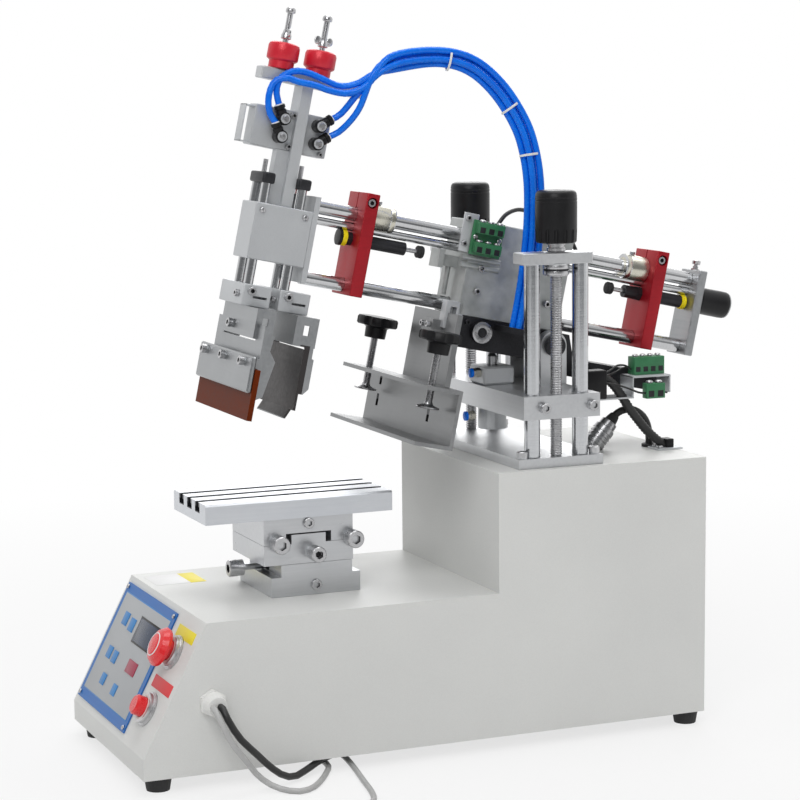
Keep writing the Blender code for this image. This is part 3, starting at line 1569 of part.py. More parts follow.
def feed_screws():
    half = stage_side / 2
    front = -half + stage_shift - cross_travel_front - front_head_gap
    shaft = rod(stage_frame, (0, front - weld_depth, front_feed_height),
                (0, front + front_shaft_length, front_feed_height),
                feed_shaft_radius, small_steps)
    head = rod(stage_frame, (0, front - front_head_length, front_feed_height),
               (0, front, front_feed_height), front_head_radius)
    socket = rod(stage_frame, (0, front - front_head_length - cut_overrun,
                               front_feed_height),
                 (0, front - front_head_length + socket_depth, front_feed_height),
                 socket_radius, 6)
    finish("feed_screw_front", shaft, bright_steel, [head], [socket])
    feed = (stage_base_height + stage_rail_height + slide_gap + cross_slide_height
            - side_feed_drop)
    inner = half + side_boss_length + contact_gap
    shaft = rod(cross_frame, (inner - side_shaft_length, side_feed_place, feed),
                (inner + weld_depth, side_feed_place, feed), feed_shaft_radius, small_steps)
    head = rod(cross_frame, (inner, side_feed_place, feed),
               (inner + side_head_length, side_feed_place, feed), side_head_radius)
    socket = rod(cross_frame, (inner + side_head_length + cut_overrun, side_feed_place,
                               feed),
                 (inner + side_head_length - socket_depth, side_feed_place, feed),
                 socket_radius, 6)
    finish("feed_screw_side", shaft, bright_steel, [head], [socket])


# Frame clamp at the front of the beam
def frame_channel():
    web_front = channel_back - channel_wall
    lower_tip = channel_back - channel_lower_depth
    upper_tip = channel_back - channel_upper_depth
    outline = [(channel_back, channel_bottom), (channel_back, channel_top),
               (upper_tip, channel_top), (upper_tip, channel_top - channel_wall),
               (web_front, channel_top - channel_wall),
               (web_front, channel_bottom + channel_wall),
               (lower_tip, channel_bottom + channel_wall), (lower_tip, channel_bottom)]
    body = plate(head_frame, outline, -channel_half_width, channel_half_width, "X")
    hanger_rear = hanger_front + hanger_thickness
    joined = [box(head_frame, (-hanger_half_width, hanger_front,
                               channel_top - hanger_arm_thickness),
                  (hanger_half_width, hanger_rear, hanger_top)),
              box(head_frame, (-hanger_half_width, channel_back - weld_depth,
                               channel_top - hanger_arm_thickness),
                  (hanger_half_width, hanger_front + weld_depth, channel_top - weld_depth)),
              box(head_frame, (-hanger_spacer_half_width, hanger_rear - weld_depth,
                               beam_front_bottom),
                  (hanger_spacer_half_width, beam_front - contact_gap, beam_front_top)),
              box(head_frame, (hanger_block_side - hanger_block_width / 2,
                               hanger_front - hanger_block_depth, hanger_block_bottom),
                  (hanger_block_side + hanger_block_width / 2, hanger_front + weld_depth,
                   hanger_block_bottom + hanger_block_height))]
    cut = []
    for across in web_slot_sides:
        for height in web_slot_heights:
            cut.append(box(head_frame, (across - web_slot_width / 2,
                                        web_front - cut_overrun, height),
                           (across + web_slot_width / 2, channel_back + cut_overrun,
                            height + web_slot_height)))
    for side in both_sides:
        cut.append(rod(head_frame, (side * spindle_side, spindle_place,
                                    channel_top - channel_wall - cut_overrun),
                       (side * spindle_side, spindle_place, channel_top + cut_overrun),
                       spindle_radius + guide_clearance, small_steps))
    finish("frame_channel", body, aluminium, joined, cut)


def clamps():
    foot_top = spindle_foot_place + spindle_foot_height
    hub_bottom = clamp_knob_place - clamp_hub_height
    top = clamp_knob_place + clamp_knob_height
    rim = clamp_knob_radius * knob_round_share
    knob_profile = [(0, top), (rim, top), (clamp_knob_radius, top - clamp_knob_height / 2),
                    (rim, clamp_knob_place), (clamp_hub_radius, clamp_knob_place),
                    (clamp_hub_radius, hub_bottom), (0, hub_bottom)]
    for name, side in (("near", 1), ("far", -1)):
        across = side * spindle_side
        foot = rod(head_frame, (across, spindle_place, spindle_foot_place),
                   (across, spindle_place, foot_top), spindle_foot_radius)
        stem = rod(head_frame, (across, spindle_place, foot_top - weld_depth),
                   (across, spindle_place, clamp_knob_place), spindle_radius, small_steps)
        finish(f"clamp_spindle_{name}", foot, bright_steel, [stem])
        knob = turned(head_frame, (across, spindle_place, 0), knob_profile)
        bore = rod(head_frame, (across, spindle_place, hub_bottom - cut_overrun),
                   (across, spindle_place, clamp_knob_place + contact_gap),
                   spindle_radius + guide_clearance, small_steps)
        finish(f"clamp_knob_{name}", knob, black_plastic, cut=[bore])


# Air hoses
def hose_bundle():
    points = [Vector(hose_route[0])] + smooth_route(hose_route[1:], hose_point_spacing)
    cord("hose_bundle", points, hose_radius, hose_blue, parent=head_frame)


cabinet()
feet()
control_panel()
estop_button()
start_button()
cord_gland()
cords()
base_plate()
columns()
top_bars()
height_screws()
lift_block()
tilt_cylinder()
tilt_rod()
tilt_beam()
head_block()
stroke_rods()
stops()
end_plate()
carriage_block()
actuator_body()
stroke_knob("stroke_knob_front", stroke_knob_places[0])
stroke_knob("stroke_knob_rear", stroke_knob_places[1])
blade_guide("squeegee_guide", squeegee_frame, front_guide_place, front_clamp_front,
            front_clamp_rear)
squeegee_holder()
squeegee_blade()
blade_guide("flood_guide", flood_frame, rear_guide_place, rear_clamp_front, rear_clamp_rear)
flood_holder()
stage_base()
cross_slide()
slotted_table(top_slide())
feed_screws()
frame_channel()
clamps()
hose_bundle()
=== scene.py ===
# Tabletop screen printing press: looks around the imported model.
import math

import bpy
from mathutils import Matrix, Vector


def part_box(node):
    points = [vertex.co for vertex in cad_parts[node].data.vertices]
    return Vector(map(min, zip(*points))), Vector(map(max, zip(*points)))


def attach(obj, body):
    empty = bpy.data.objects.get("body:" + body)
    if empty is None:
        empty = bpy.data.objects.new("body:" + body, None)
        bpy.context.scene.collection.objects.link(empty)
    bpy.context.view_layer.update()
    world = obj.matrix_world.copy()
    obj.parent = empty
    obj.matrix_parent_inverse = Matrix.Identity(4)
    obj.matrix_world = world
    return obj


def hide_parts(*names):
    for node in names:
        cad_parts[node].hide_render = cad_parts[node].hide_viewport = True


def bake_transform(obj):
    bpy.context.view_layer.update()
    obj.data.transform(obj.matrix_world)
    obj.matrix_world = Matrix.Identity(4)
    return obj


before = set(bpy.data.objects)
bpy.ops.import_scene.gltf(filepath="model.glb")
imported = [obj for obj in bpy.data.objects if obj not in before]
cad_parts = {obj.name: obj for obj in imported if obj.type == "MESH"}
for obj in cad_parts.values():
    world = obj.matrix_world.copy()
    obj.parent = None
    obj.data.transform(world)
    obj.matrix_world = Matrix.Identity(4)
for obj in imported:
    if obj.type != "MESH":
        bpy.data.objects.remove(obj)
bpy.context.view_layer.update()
print("frame loaded")

# where the machine's own parts stand: floor, front slope and tilted head
benches = {"floor": Matrix.Identity(4),
           "slope": Matrix.Translation((0, -0.35657, 0.036)) @ Matrix.Rotation(math.radians(62.721), 4, "X"),
           "head": Matrix.Translation((0, 0.12047, 0.42666)) @ Matrix.Rotation(math.radians(-12), 4, "X")}
alongX, alongY, alongZ = (1, 0, 0), (0, 1, 0), (0, 0, 1)


# camera at the photograph's place
cameraLook = {
    "eye": (2.2704, -0.99237, 0.6868), "azimuth": 67.11, "elevation": 7.79, "roll": -0.53, "lens": 107.685,
}


def makeCamera():
    camera = bpy.data.objects.new("camera", bpy.data.cameras.new("camera"))
    bpy.context.scene.collection.objects.link(camera)
    camera.data.lens = cameraLook["lens"]
    camera.data.sensor_width = 36
    camera.data.clip_end = 50
    turn = math.radians(cameraLook["azimuth"])
    rise = math.radians(cameraLook["elevation"])
    ahead = Vector((-math.sin(turn) * math.cos(rise), math.cos(turn) * math.cos(rise), -math.sin(rise)))
    side = Vector((math.cos(turn), math.sin(turn), 0))
    over = side.cross(ahead)
    roll = math.radians(cameraLook["roll"])
    right = math.cos(roll) * side + math.sin(roll) * over
    up = math.cos(roll) * over - math.sin(roll) * side
    facing = Matrix((right, up, -ahead)).transposed().to_4x4()
    camera.matrix_world = Matrix.Translation(cameraLook["eye"]) @ facing
    bpy.context.scene.camera = camera


makeCamera()


# shader maths by plain sums
class Wire:
    def __init__(self, tree, socket):
        self.tree = tree
        self.socket = socket

    def node(self, kind, settings, values, out=0):
        made = self.tree.nodes.new(kind)
        for name, value in settings.items():
            setattr(made, name, value)
        for name, value in values.items():
            if isinstance(value, Wire):
                self.tree.links.new(value.socket, made.inputs[name])
            else:
                made.inputs[name].default_value = value
        return Wire(self.tree, made.outputs[out])

    def maths(self, kind, first, second):
        return self.node("ShaderNodeMath", {"operation": kind}, {0: first, 1: second})

    def __add__(self, other):
        return self.maths("ADD", self, other)

    __radd__ = __add__

    def __sub__(self, other):
        return self.maths("SUBTRACT", self, other)

    def __rsub__(self, other):
        return self.maths("SUBTRACT", other, self)

    def __mul__(self, other):
        return self.maths("MULTIPLY", self, other)

    __rmul__ = __mul__

    def __gt__(self, other):
        return self.maths("GREATER_THAN", self, other)

    def __lt__(self, other):
        return self.maths("LESS_THAN", self, other)

    def onBench(self, bench):
        back = benches[bench].inverted()
        return self.node("ShaderNodeMapping", {}, {"Vector": self, "Rotation": back.to_euler(),
                                                   "Location": back.translation})

    # 1 inside a box, 0 outside it
    def inside(self, low, high):
        share = 1
        for axis in range(3):
            along = self.node("ShaderNodeSeparateXYZ", {}, {0: self}, axis)
            share = share * (along > low[axis]) * (along < high[axis])
        return share

    def spread(self, low, high, toLow, toHigh):
        return self.node("ShaderNodeMapRange", {}, {0: self, 1: low, 2: high, 3: toLow, 4: toHigh})

    def noise(self, scale, detail=3, stretch=(1, 1, 1), turn=0, rough=0.5):
        place = self.node("ShaderNodeMapping", {}, {"Vector": self, "Rotation": (math.radians(turn), 0, 0),
                                                    "Scale": stretch})
        return place.node("ShaderNodeTexNoise", {}, {"Vector": place, "Scale": scale, "Detail": detail,
                                                     "Roughness": rough})

    def between(self, first, second):
        return self.node("ShaderNodeMix", {"data_type": "RGBA"},
                         {"Factor": self, "A": (*first, 1), "B": (*second, 1)}, "Result")

    def bump(self, strength, distance=0.001):
        return self.node("ShaderNodeBump", {}, {"Height": self, "Strength": strength, "Distance": distance})

    def feed(self, socket):
        self.tree.links.new(self.socket, socket)


def startMaterial(name):
    made = bpy.data.materials.new(name)
    made.use_nodes = True
    tree = made.node_tree
    place = Wire(tree, None).node("ShaderNodeTexCoord", {}, {}, "Object")
    return made, tree.nodes["Principled BSDF"], place


# one entry for each finish: two tones, roughness range, metal, and the grain that drives them;
# a stretched grain gives the long fine lines of milled and ground faces
finishes = {
    "powderCoat": {"tones": ((0.77, 0.775, 0.755), (0.71, 0.715, 0.70)), "rough": (0.42, 0.56),
        "grain": 900, "bump": 0.10, "blotch": 7},
    "blackRubber": {"tones": ((0.016, 0.016, 0.017), (0.03, 0.03, 0.031)), "rough": (0.6, 0.8),
        "grain": 1400, "bump": 0.12, "blotch": 40},
    "blackPlastic": {"tones": ((0.006, 0.006, 0.007), (0.012, 0.012, 0.013)), "rough": (0.30, 0.46),
        "grain": 1800, "bump": 0.08, "blotch": 50, "gloss": 0.25},
    "blackOxide": {"tones": ((0.022, 0.022, 0.025), (0.045, 0.045, 0.05)), "rough": (0.34, 0.55),
        "metal": 0.7, "grain": 500, "bump": 0.06, "blotch": 25},
    "panelBlue": {"tones": ((0.006, 0.120, 0.42), (0.009, 0.145, 0.48)), "rough": (0.34, 0.46),
        "grain": 2500, "bump": 0.04, "blotch": 30},
    "panelGrey": {"tones": ((0.40, 0.415, 0.43), (0.44, 0.455, 0.47)), "rough": (0.35, 0.45), "grain": 2500,
        "bump": 0.05, "blotch": 30},
    "keyBlue": {"tones": ((0.02, 0.19, 0.50), (0.03, 0.23, 0.56)), "rough": (0.34, 0.44), "grain": 2500,
        "bump": 0.04, "blotch": 60},
    "keyMaroon": {"tones": ((0.30, 0.01, 0.045), (0.36, 0.015, 0.06)), "rough": (0.3, 0.4), "grain": 2500,
        "bump": 0.04, "blotch": 60},
    "displayGlass": {"tones": ((0.020, 0.032, 0.060), (0.03, 0.05, 0.10)), "rough": (0.20, 0.30),
        "grain": 300, "bump": 0.01, "blotch": 40, "gloss": 0.3},
    "labelYellow": {"tones": ((0.85, 0.72, 0.02), (0.88, 0.76, 0.05)), "rough": (0.4, 0.5), "grain": 1500,
        "bump": 0.03, "blotch": 40},
    "labelRed": {"tones": ((0.70, 0.03, 0.035), (0.74, 0.04, 0.045)), "rough": (0.4, 0.5), "grain": 1500,
        "bump": 0.03, "blotch": 40},
    "labelWhite": {"tones": ((0.78, 0.78, 0.78), (0.82, 0.82, 0.82)), "rough": (0.4, 0.5), "grain": 1500,
        "bump": 0.03, "blotch": 40},
    "buttonRed": {"tones": ((0.72, 0.012, 0.018), (0.80, 0.02, 0.025)), "rough": (0.22, 0.34),
        "grain": 1500, "bump": 0.04, "blotch": 60, "coat": 0.3},
    "nylonWhite": {"tones": ((0.84, 0.84, 0.82), (0.78, 0.78, 0.76)), "rough": (0.4, 0.55), "grain": 900,
        "bump": 0.08, "blotch": 60},
    "cordBlack": {"tones": ((0.012, 0.012, 0.012), (0.022, 0.022, 0.022)), "rough": (0.34, 0.5),
        "grain": 1100, "bump": 0.08, "blotch": 60},
    "cableGrey": {"tones": ((0.40, 0.40, 0.40), (0.50, 0.50, 0.495)), "rough": (0.32, 0.46), "grain": 900,
        "bump": 0.08, "blotch": 50},
    "hoseBlue": {"tones": ((0.0, 0.14, 0.78), (0.002, 0.20, 0.90)), "rough": (0.20, 0.32), "grain": 400,
        "bump": 0.04, "blotch": 50, "gloss": 0.3},
    "boardGreen": {"tones": ((0.030, 0.155, 0.065), (0.045, 0.21, 0.09)), "rough": (0.34, 0.5),
        "grain": 1200, "bump": 0.08, "blotch": 90},
    "capYellow": {"tones": ((0.88, 0.70, 0.0), (0.92, 0.78, 0.01)), "rough": (0.3, 0.42), "grain": 1200,
        "bump": 0.04, "blotch": 90},
    "redAnodised": {"tones": ((0.33, 0.004, 0.012), (0.43, 0.006, 0.016)), "rough": (0.34, 0.48),
        "metal": 0.35, "grain": 500, "bump": 0.05, "blotch": 30, "stretch": (1, 0.1, 1)},
    "bareSteel": {"tones": ((0.42, 0.42, 0.43), (0.60, 0.60, 0.61)), "rough": (0.22, 0.38), "metal": 1,
        "grain": 420, "bump": 0.06, "blotch": 40},
    "nickel": {"tones": ((0.52, 0.50, 0.42), (0.66, 0.64, 0.56)), "rough": (0.2, 0.34), "metal": 1,
        "grain": 420, "bump": 0.04, "blotch": 60, "stretch": (1, 6, 1), "turn": -12},
    "blade": {"tones": ((0.100, 0.016, 0.003), (0.165, 0.027, 0.005)), "rough": (0.36, 0.48), "grain": 300,
        "bump": 0.03, "blotch": 14, "gloss": 0.06},
    # painted shade: a dark finish laid inside hex sockets, wire mouths and recesses, where the hole is dark
    # only from shade
    "paintedHoleShade": {"tones": ((0.02, 0.02, 0.022), (0.05, 0.05, 0.055)), "rough": (0.4, 0.6), "metal": 0.6,
        "grain": 700, "bump": 0.05, "blotch": 80},
    "knobRed": {"tones": ((0.62, 0.014, 0.030), (0.70, 0.018, 0.040)), "rough": (0.30, 0.42), "metal": 0.15,
        "grain": 1200, "bump": 0.05, "blotch": 60},
    "blastedPlate": {"tones": ((0.53, 0.545, 0.56), (0.61, 0.625, 0.64)), "rough": (0.38, 0.52),
        "metal": 0.55, "grain": 900, "bump": 0.10, "blotch": 18},
    "floodSteel": {"tones": ((0.30, 0.31, 0.32), (0.42, 0.43, 0.44)), "rough": (0.30, 0.48), "metal": 0.8,
        "grain": 260, "bump": 0.06, "blotch": 18, "shadowTone": (0.060, 0.055, 0.055), "shadows": ("head",
        (((-0.052, -0.2745, -0.145), (0.052, -0.2640, -0.066)), ((-0.049, -0.2710, -0.116),
        (0.0440, -0.2560, -0.058))))},
    "channelPlate": {"tones": ((0.235, 0.24, 0.245), (0.32, 0.325, 0.33)), "rough": (0.30, 0.48),
        "metal": 0.8, "grain": 260, "bump": 0.08, "blotch": 22, "stretch": (0.04, 1, 1),
        "shadowTone": (0.012, 0.012, 0.013), "shadows": ("head",
        tuple(((side - 0.0036, -0.12335, height - 0.0072), (side + 0.0036, -0.1190, height + 0.0072)) for
        side in (-0.085, 0.05) for height in (-0.099, -0.122)))},
    "tableBed": {"tones": ((0.58, 0.60, 0.635), (0.71, 0.73, 0.76)), "rough": (0.26, 0.44), "metal": 0.75,
        "grain": 260, "bump": 0.07, "blotch": 14, "stretch": (1, 0.04, 1),
        "shadowTone": (0.055, 0.058, 0.066), "shadows": ("floor", tuple(((side - 0.0074, -0.27, 0.2540),
        (side + 0.0074, -0.06, 0.26445)) for side in (-0.0255, 0, 0.0255)))},
    "milledBed": {"tones": ((0.52, 0.53, 0.545), (0.66, 0.67, 0.685)), "rough": (0.26, 0.44), "metal": 0.9,
        "grain": 260, "bump": 0.07, "blotch": 14, "stretch": (1, 0.04, 1)},
    "milledPlate": {"tones": ((0.55, 0.56, 0.575), (0.68, 0.69, 0.70)), "rough": (0.28, 0.46), "metal": 0.9,
        "grain": 260, "bump": 0.07, "blotch": 14, "stretch": (0.04, 1, 1)},
    "castHead": {"tones": ((0.34, 0.355, 0.35), (0.54, 0.555, 0.55)), "rough": (0.38, 0.6), "metal": 0.7,
        "grain": 110, "bump": 0.14, "blotch": 34, "detail": 7, "turn": -12},
    "sheetSteel": {"tones": ((0.30, 0.31, 0.32), (0.42, 0.43, 0.44)), "rough": (0.28, 0.46), "metal": 0.9,
        "grain": 260, "bump": 0.06, "blotch": 18, "stretch": (0.05, 1, 1), "turn": -12},
    "groundColumn": {"tones": ((0.46, 0.47, 0.485), (0.60, 0.61, 0.625)), "rough": (0.10, 0.22), "metal": 1,
        "grain": 500, "bump": 0.02, "blotch": 12, "stretch": (0.1, 0.1, 3)},
    "groundRod": {"tones": ((0.48, 0.485, 0.495), (0.62, 0.625, 0.635)), "rough": (0.08, 0.2), "metal": 1,
        "grain": 500, "bump": 0.02, "blotch": 12, "stretch": (0.1, 3, 0.1), "turn": -12},
    "groundGuide": {"tones": ((0.46, 0.465, 0.475), (0.60, 0.605, 0.615)), "rough": (0.10, 0.22),
        "metal": 1, "grain": 500, "bump": 0.02, "blotch": 12, "stretch": (0.1, 0.1, 3), "turn": -12},
}
# how the coarse and the fine grain mix in every finish
grainMix = {
    "wide": 0.6, "fine": 0.4, "even": 0.5, "toneRange": (0.32, 0.68), "roughRange": (0.3, 0.7),
    "wideDetail": 4, "coatRough": 0.12,
}
looks = {}


def startPiece():
    if bpy.context.object and bpy.context.object.mode != "OBJECT":
        bpy.ops.object.mode_set(mode="OBJECT")
    bpy.ops.object.select_all(action="DESELECT")


def makeFinish(name):
    made, shader, place = startMaterial(name)
    values = finishes[name]
    fine = place.noise(values["grain"], values.get("detail", 3), values.get("stretch", (1, 1, 1)),
                       values.get("turn", 0))
    wide = place.noise(values["blotch"], grainMix["wideDetail"])
    tone = (wide * grainMix["wide"] + fine * grainMix["fine"]).spread(*grainMix["toneRange"], 0, 1)
    color = tone.between(*values["tones"])
    if "shadows" in values:
        bench, spots = values["shadows"]
        place = place.onBench(bench)
        share = 0
        for low, high in spots:
            share = share + place.inside(low, high)
        color = share.node("ShaderNodeMix", {"data_type": "RGBA"},
                           {"Factor": share, "A": color, "B": (*values["shadowTone"], 1)}, "Result")
    color.feed(shader.inputs["Base Color"])
    rough = fine * grainMix["even"] + wide * grainMix["even"]
    rough.spread(*grainMix["roughRange"], *values["rough"]).feed(shader.inputs["Roughness"])
    fine.bump(values["bump"]).feed(shader.inputs["Normal"])
    shader.inputs["Metallic"].default_value = values.get("metal", 0)
    shader.inputs["Specular IOR Level"].default_value = values.get("gloss", 0.5)
    if values.get("coat"):
        shader.inputs["Coat Weight"].default_value = values["coat"]
        shader.inputs["Coat Roughness"].default_value = grainMix["coatRough"]
    looks[name] = made


for finishName in finishes:
    makeFinish(finishName)
print("finishes made")

# modelling by hand: a primitive at its place, shaped in edit mode
def aim(along):
    return Vector(along).to_track_quat("Z", "Y").to_euler()


def block(low, high, bevel=0.0006, segments=2):
    startPiece()
    low, high = Vector(low), Vector(high)
    bpy.ops.mesh.primitive_cube_add(size=1, location=(low + high) / 2)
    made = bpy.context.object
    made.scale = high - low
    bpy.ops.object.transform_apply(location=False, rotation=False, scale=True)
    bpy.ops.object.mode_set(mode="EDIT")
    bpy.ops.mesh.select_all(action="SELECT")
    bpy.ops.mesh.bevel(offset=bevel, segments=segments, affect="EDGES")
    bpy.ops.object.mode_set(mode="OBJECT")
    return made


# profile is (distance along the axis, radius) for each ring, first ring to last
def turned(at, along, profile, sides=32):
    startPiece()
    along = Vector(along).normalized()
    bpy.ops.mesh.primitive_circle_add(vertices=sides, radius=profile[0][1], fill_type="NGON",
                                      location=Vector(at) + along * profile[0][0], rotation=aim(along))
    bpy.ops.object.mode_set(mode="EDIT")
    bpy.ops.mesh.select_all(action="SELECT")
    for (lastReach, lastRadius), (reach, radius) in zip(profile, profile[1:]):
        bpy.ops.mesh.extrude_region_move(TRANSFORM_OT_translate={"value": along * (reach - lastReach)})
        share = radius / lastRadius
        bpy.ops.transform.resize(value=(share, share, share), center_override=Vector(at) + along * reach)
    bpy.ops.mesh.select_all(action="SELECT")
    bpy.ops.mesh.normals_make_consistent(inside=False)
    bpy.ops.object.mode_set(mode="OBJECT")
    return bpy.context.object


def ring(at, along, inner, outer, height, sides=40, bevel=0.0003):
    startPiece()
    along = Vector(along).normalized()
    bpy.ops.mesh.primitive_circle_add(vertices=sides, radius=inner, fill_type="NOTHING", location=at,
                                      rotation=aim(along))
    bpy.ops.object.mode_set(mode="EDIT")
    bpy.ops.mesh.select_all(action="SELECT")
    bpy.ops.mesh.extrude_region_move(TRANSFORM_OT_translate={"value": (0, 0, 0)})
    share = outer / inner
    bpy.ops.transform.resize(value=(share, share, share), center_override=at)
    bpy.ops.mesh.select_all(action="SELECT")
    bpy.ops.mesh.extrude_region_move(TRANSFORM_OT_translate={"value": along * height})
    bpy.ops.mesh.select_all(action="SELECT")
    bpy.ops.mesh.normals_make_consistent(inside=False)
    bpy.ops.mesh.select_all(action="DESELECT")
    bpy.ops.mesh.edges_select_sharp(sharpness=math.radians(60))
    bpy.ops.mesh.bevel(offset=bevel, segments=2, affect="EDGES")
    bpy.ops.object.mode_set(mode="OBJECT")
    return bpy.context.object


def wear(made, *names):
    for name in names:
        made.data.materials.append(looks[name])
    return made


def lathe(at, along, profile, sides, look):
    return wear(turned(at, along, profile, sides), look)


# the same cutter in a circle round an upright axis
def around(at, count, reach, profile, sides):
    cutters = []
    for index in range(count):
        turn = 2 * math.pi * index / count
        spot = (at[0] + reach * math.cos(turn), at[1] + reach * math.sin(turn), 0)
        cutters.append(turned(spot, alongZ, profile, sides))
    return cutters


def stretch(made, value, at):
    bpy.ops.object.mode_set(mode="EDIT")
    bpy.ops.mesh.select_all(action="SELECT")
    bpy.ops.transform.resize(value=value, center_override=at)
    bpy.ops.object.mode_set(mode="OBJECT")
    return made


def together(parts):
    startPiece()
    for part in parts:
        part.select_set(True)
    bpy.context.view_layer.objects.active = parts[0]
    bpy.ops.object.join()
    return bpy.context.object


def cutAway(made, cutters):
    for cutter in cutters:
        startPiece()
        made.select_set(True)
        bpy.context.view_layer.objects.active = made
        trim = made.modifiers.new("cut", "BOOLEAN")
        trim.operation = "DIFFERENCE"
        trim.object = cutter
        bpy.ops.object.modifier_apply(modifier="cut")
        bpy.data.objects.remove(cutter)
    return made


# the mesh goes to its place in the machine, and the object to the origin
def ground(made, name, bench):
    startPiece()
    made.select_set(True)
    bpy.context.view_layer.objects.active = made
    made.name = name
    made.data.name = name
    made.matrix_world = benches[bench] @ made.matrix_world
    bpy.ops.object.transform_apply(location=True, rotation=True, scale=True)


def settle(made, name, body, bench="floor", angle=35, replaces=()):
    ground(made, name, bench)
    bpy.ops.object.shade_smooth_by_angle(angle=math.radians(angle))
    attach(made, body)
    if replaces:
        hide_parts(*replaces)
    return made


# hoses and ties cross from the head to the stroke
def bridgeHead(made):
    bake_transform(made)


# screws are made once, one unit across, and copied to size
screwHead = {
    "sides": 20,
    "socket": ((-0.3, 0.6), (0, 0.6), (0, 1.0), (0.92, 1.0), (1.02, 0.9)),
    "height": 1.02, "hex": ((0.35, 0.56), (1.5, 0.56)), "hexFloor": 0.2, "hexReach": 0.58,
    "button": ((-0.3, 0.5), (0, 0.5), (0, 1.0), (0.2, 1.0), (0.42, 0.86), (0.56, 0.6)),
    "slot": ((-0.12, -2, 0.3), (0.12, 2, 2)), "slotBevel": 0.001,
}


def makeSocketScrew():
    head = turned((0, 0, 0), alongZ, screwHead["socket"], screwHead["sides"])
    head = cutAway(head, [turned((0, 0, 0), alongZ, screwHead["hex"], 6)])
    wear(head, "bareSteel", "paintedHoleShade")
    # the faces inside the hex socket take the dark finish: painted shade in the recess
    for face in head.data.polygons:
        if face.center.xy.length < screwHead["hexReach"] and screwHead["hexFloor"] < face.center.z < 1:
            face.material_index = 1
    return head


def makeButtonScrew():
    head = turned((0, 0, 0), alongZ, screwHead["button"], screwHead["sides"])
    return wear(cutAway(head, [block(*screwHead["slot"], screwHead["slotBevel"], 1)]), "bareSteel")


masters = {"socket": makeSocketScrew(), "button": makeButtonScrew()}


def copyAt(master, at, along, size, look=None):
    made = masters[master].copy()
    made.data = masters[master].data.copy()
    bpy.context.scene.collection.objects.link(made)
    made.matrix_world = Matrix.LocRotScale(Vector(at), aim(along), (size, size, size))
    if look:
        made.data.materials[0] = looks[look]
    return made


def fitScrews(name, body, bench, places):
    settle(together([copyAt(*place) for place in places]), name, body, bench)


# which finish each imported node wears
nodeFinishes = {
    "powderCoat": ["cabinet"],
    "blackRubber": ["foot_front_near", "foot_front_far", "foot_rear_near", "foot_rear_far", "mains_plug",
        "front_plunger", "rear_plunger"],
    "panelBlue": ["control_panel"], "buttonRed": ["estop_button", "start_button"],
    "nylonWhite": ["cord_gland"],
    "bareSteel": ["signal_connector", "tilt_rod", "feed_screw_front", "feed_screw_side",
        "clamp_spindle_near", "clamp_spindle_far"],
    "milledBed": ["stage_base", "cross_slide", "top_slide"], "tableBed": ["slotted_table"],
    "milledPlate": ["base_plate", "top_bar_near", "top_bar_far", "lift_block"],
    "channelPlate": ["frame_channel"], "castHead": ["head_block"],
    "blastedPlate": ["carriage_block", "tilt_cylinder", "actuator_body"],
    "blackOxide": ["tilt_beam", "front_damper", "rear_damper"],
    "groundColumn": ["column_near_front", "column_near_rear", "column_far_front", "column_far_rear"],
    "groundRod": ["upper_tube", "piston_rod", "lower_rod"],
    "redAnodised": ["front_stop_block", "rear_stop_block", "stroke_knob_front", "stroke_knob_rear"],
    "sheetSteel": ["end_plate", "squeegee_holder"], "floodSteel": ["flood_holder"],
    "groundGuide": ["squeegee_guide", "flood_guide"], "blade": ["squeegee_blade"],
    "blackPlastic": ["height_screw_near", "height_screw_far", "clamp_knob_near", "clamp_knob_far"],
}


def dressNodes():
    for finish, nodes in nodeFinishes.items():
        for node in nodes:
            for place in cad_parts[node].material_slots:
                place.material = looks[finish]


dressNodes()
print("packed nodes dressed")


# routes of cords and hoses, in metres
# a smooth curve through all points, then points an even way apart on it
curveSteps = 40


def smoothRoute(points, spacing):
    places = [Vector(point) for point in points]
    last = len(places) - 1
    fine = []
    for index in range(last):
        before, start = places[max(index - 1, 0)], places[index]
        end, after = places[index + 1], places[min(index + 2, last)]
        for step in range(curveSteps):
            t = step / curveSteps
            fine.append((start * 2 + (end - before) * t
                         + (before * 2 - start * 5 + end * 4 - after) * t ** 2
                         + (start * 3 - before - end * 3 + after) * t ** 3) / 2)
    fine.append(places[-1])
    walked = [0]
    for here, following in zip(fine, fine[1:]):
        walked.append(walked[-1] + (following - here).length)
    count = max(2, round(walked[-1] / spacing))
    even = [fine[0]]
    for index in range(1, len(fine)):
        target = walked[-1] * len(even) / count
        while len(even) < count and walked[index] >= target:
            share = (target - walked[index - 1]) / (walked[index] - walked[index - 1])
            even.append(fine[index - 1].lerp(fine[index], share))
            target = walked[-1] * len(even) / count
    even.append(fine[-1])
    return even


# a coil winds inward, climbs half a turn and winds outward on top of itself
coilLook = {"steps": 24, "climbTurns": 0.5, "across": 1.30, "stack": 1.12, "floorGap": 0.0002, "leave": 0.05}


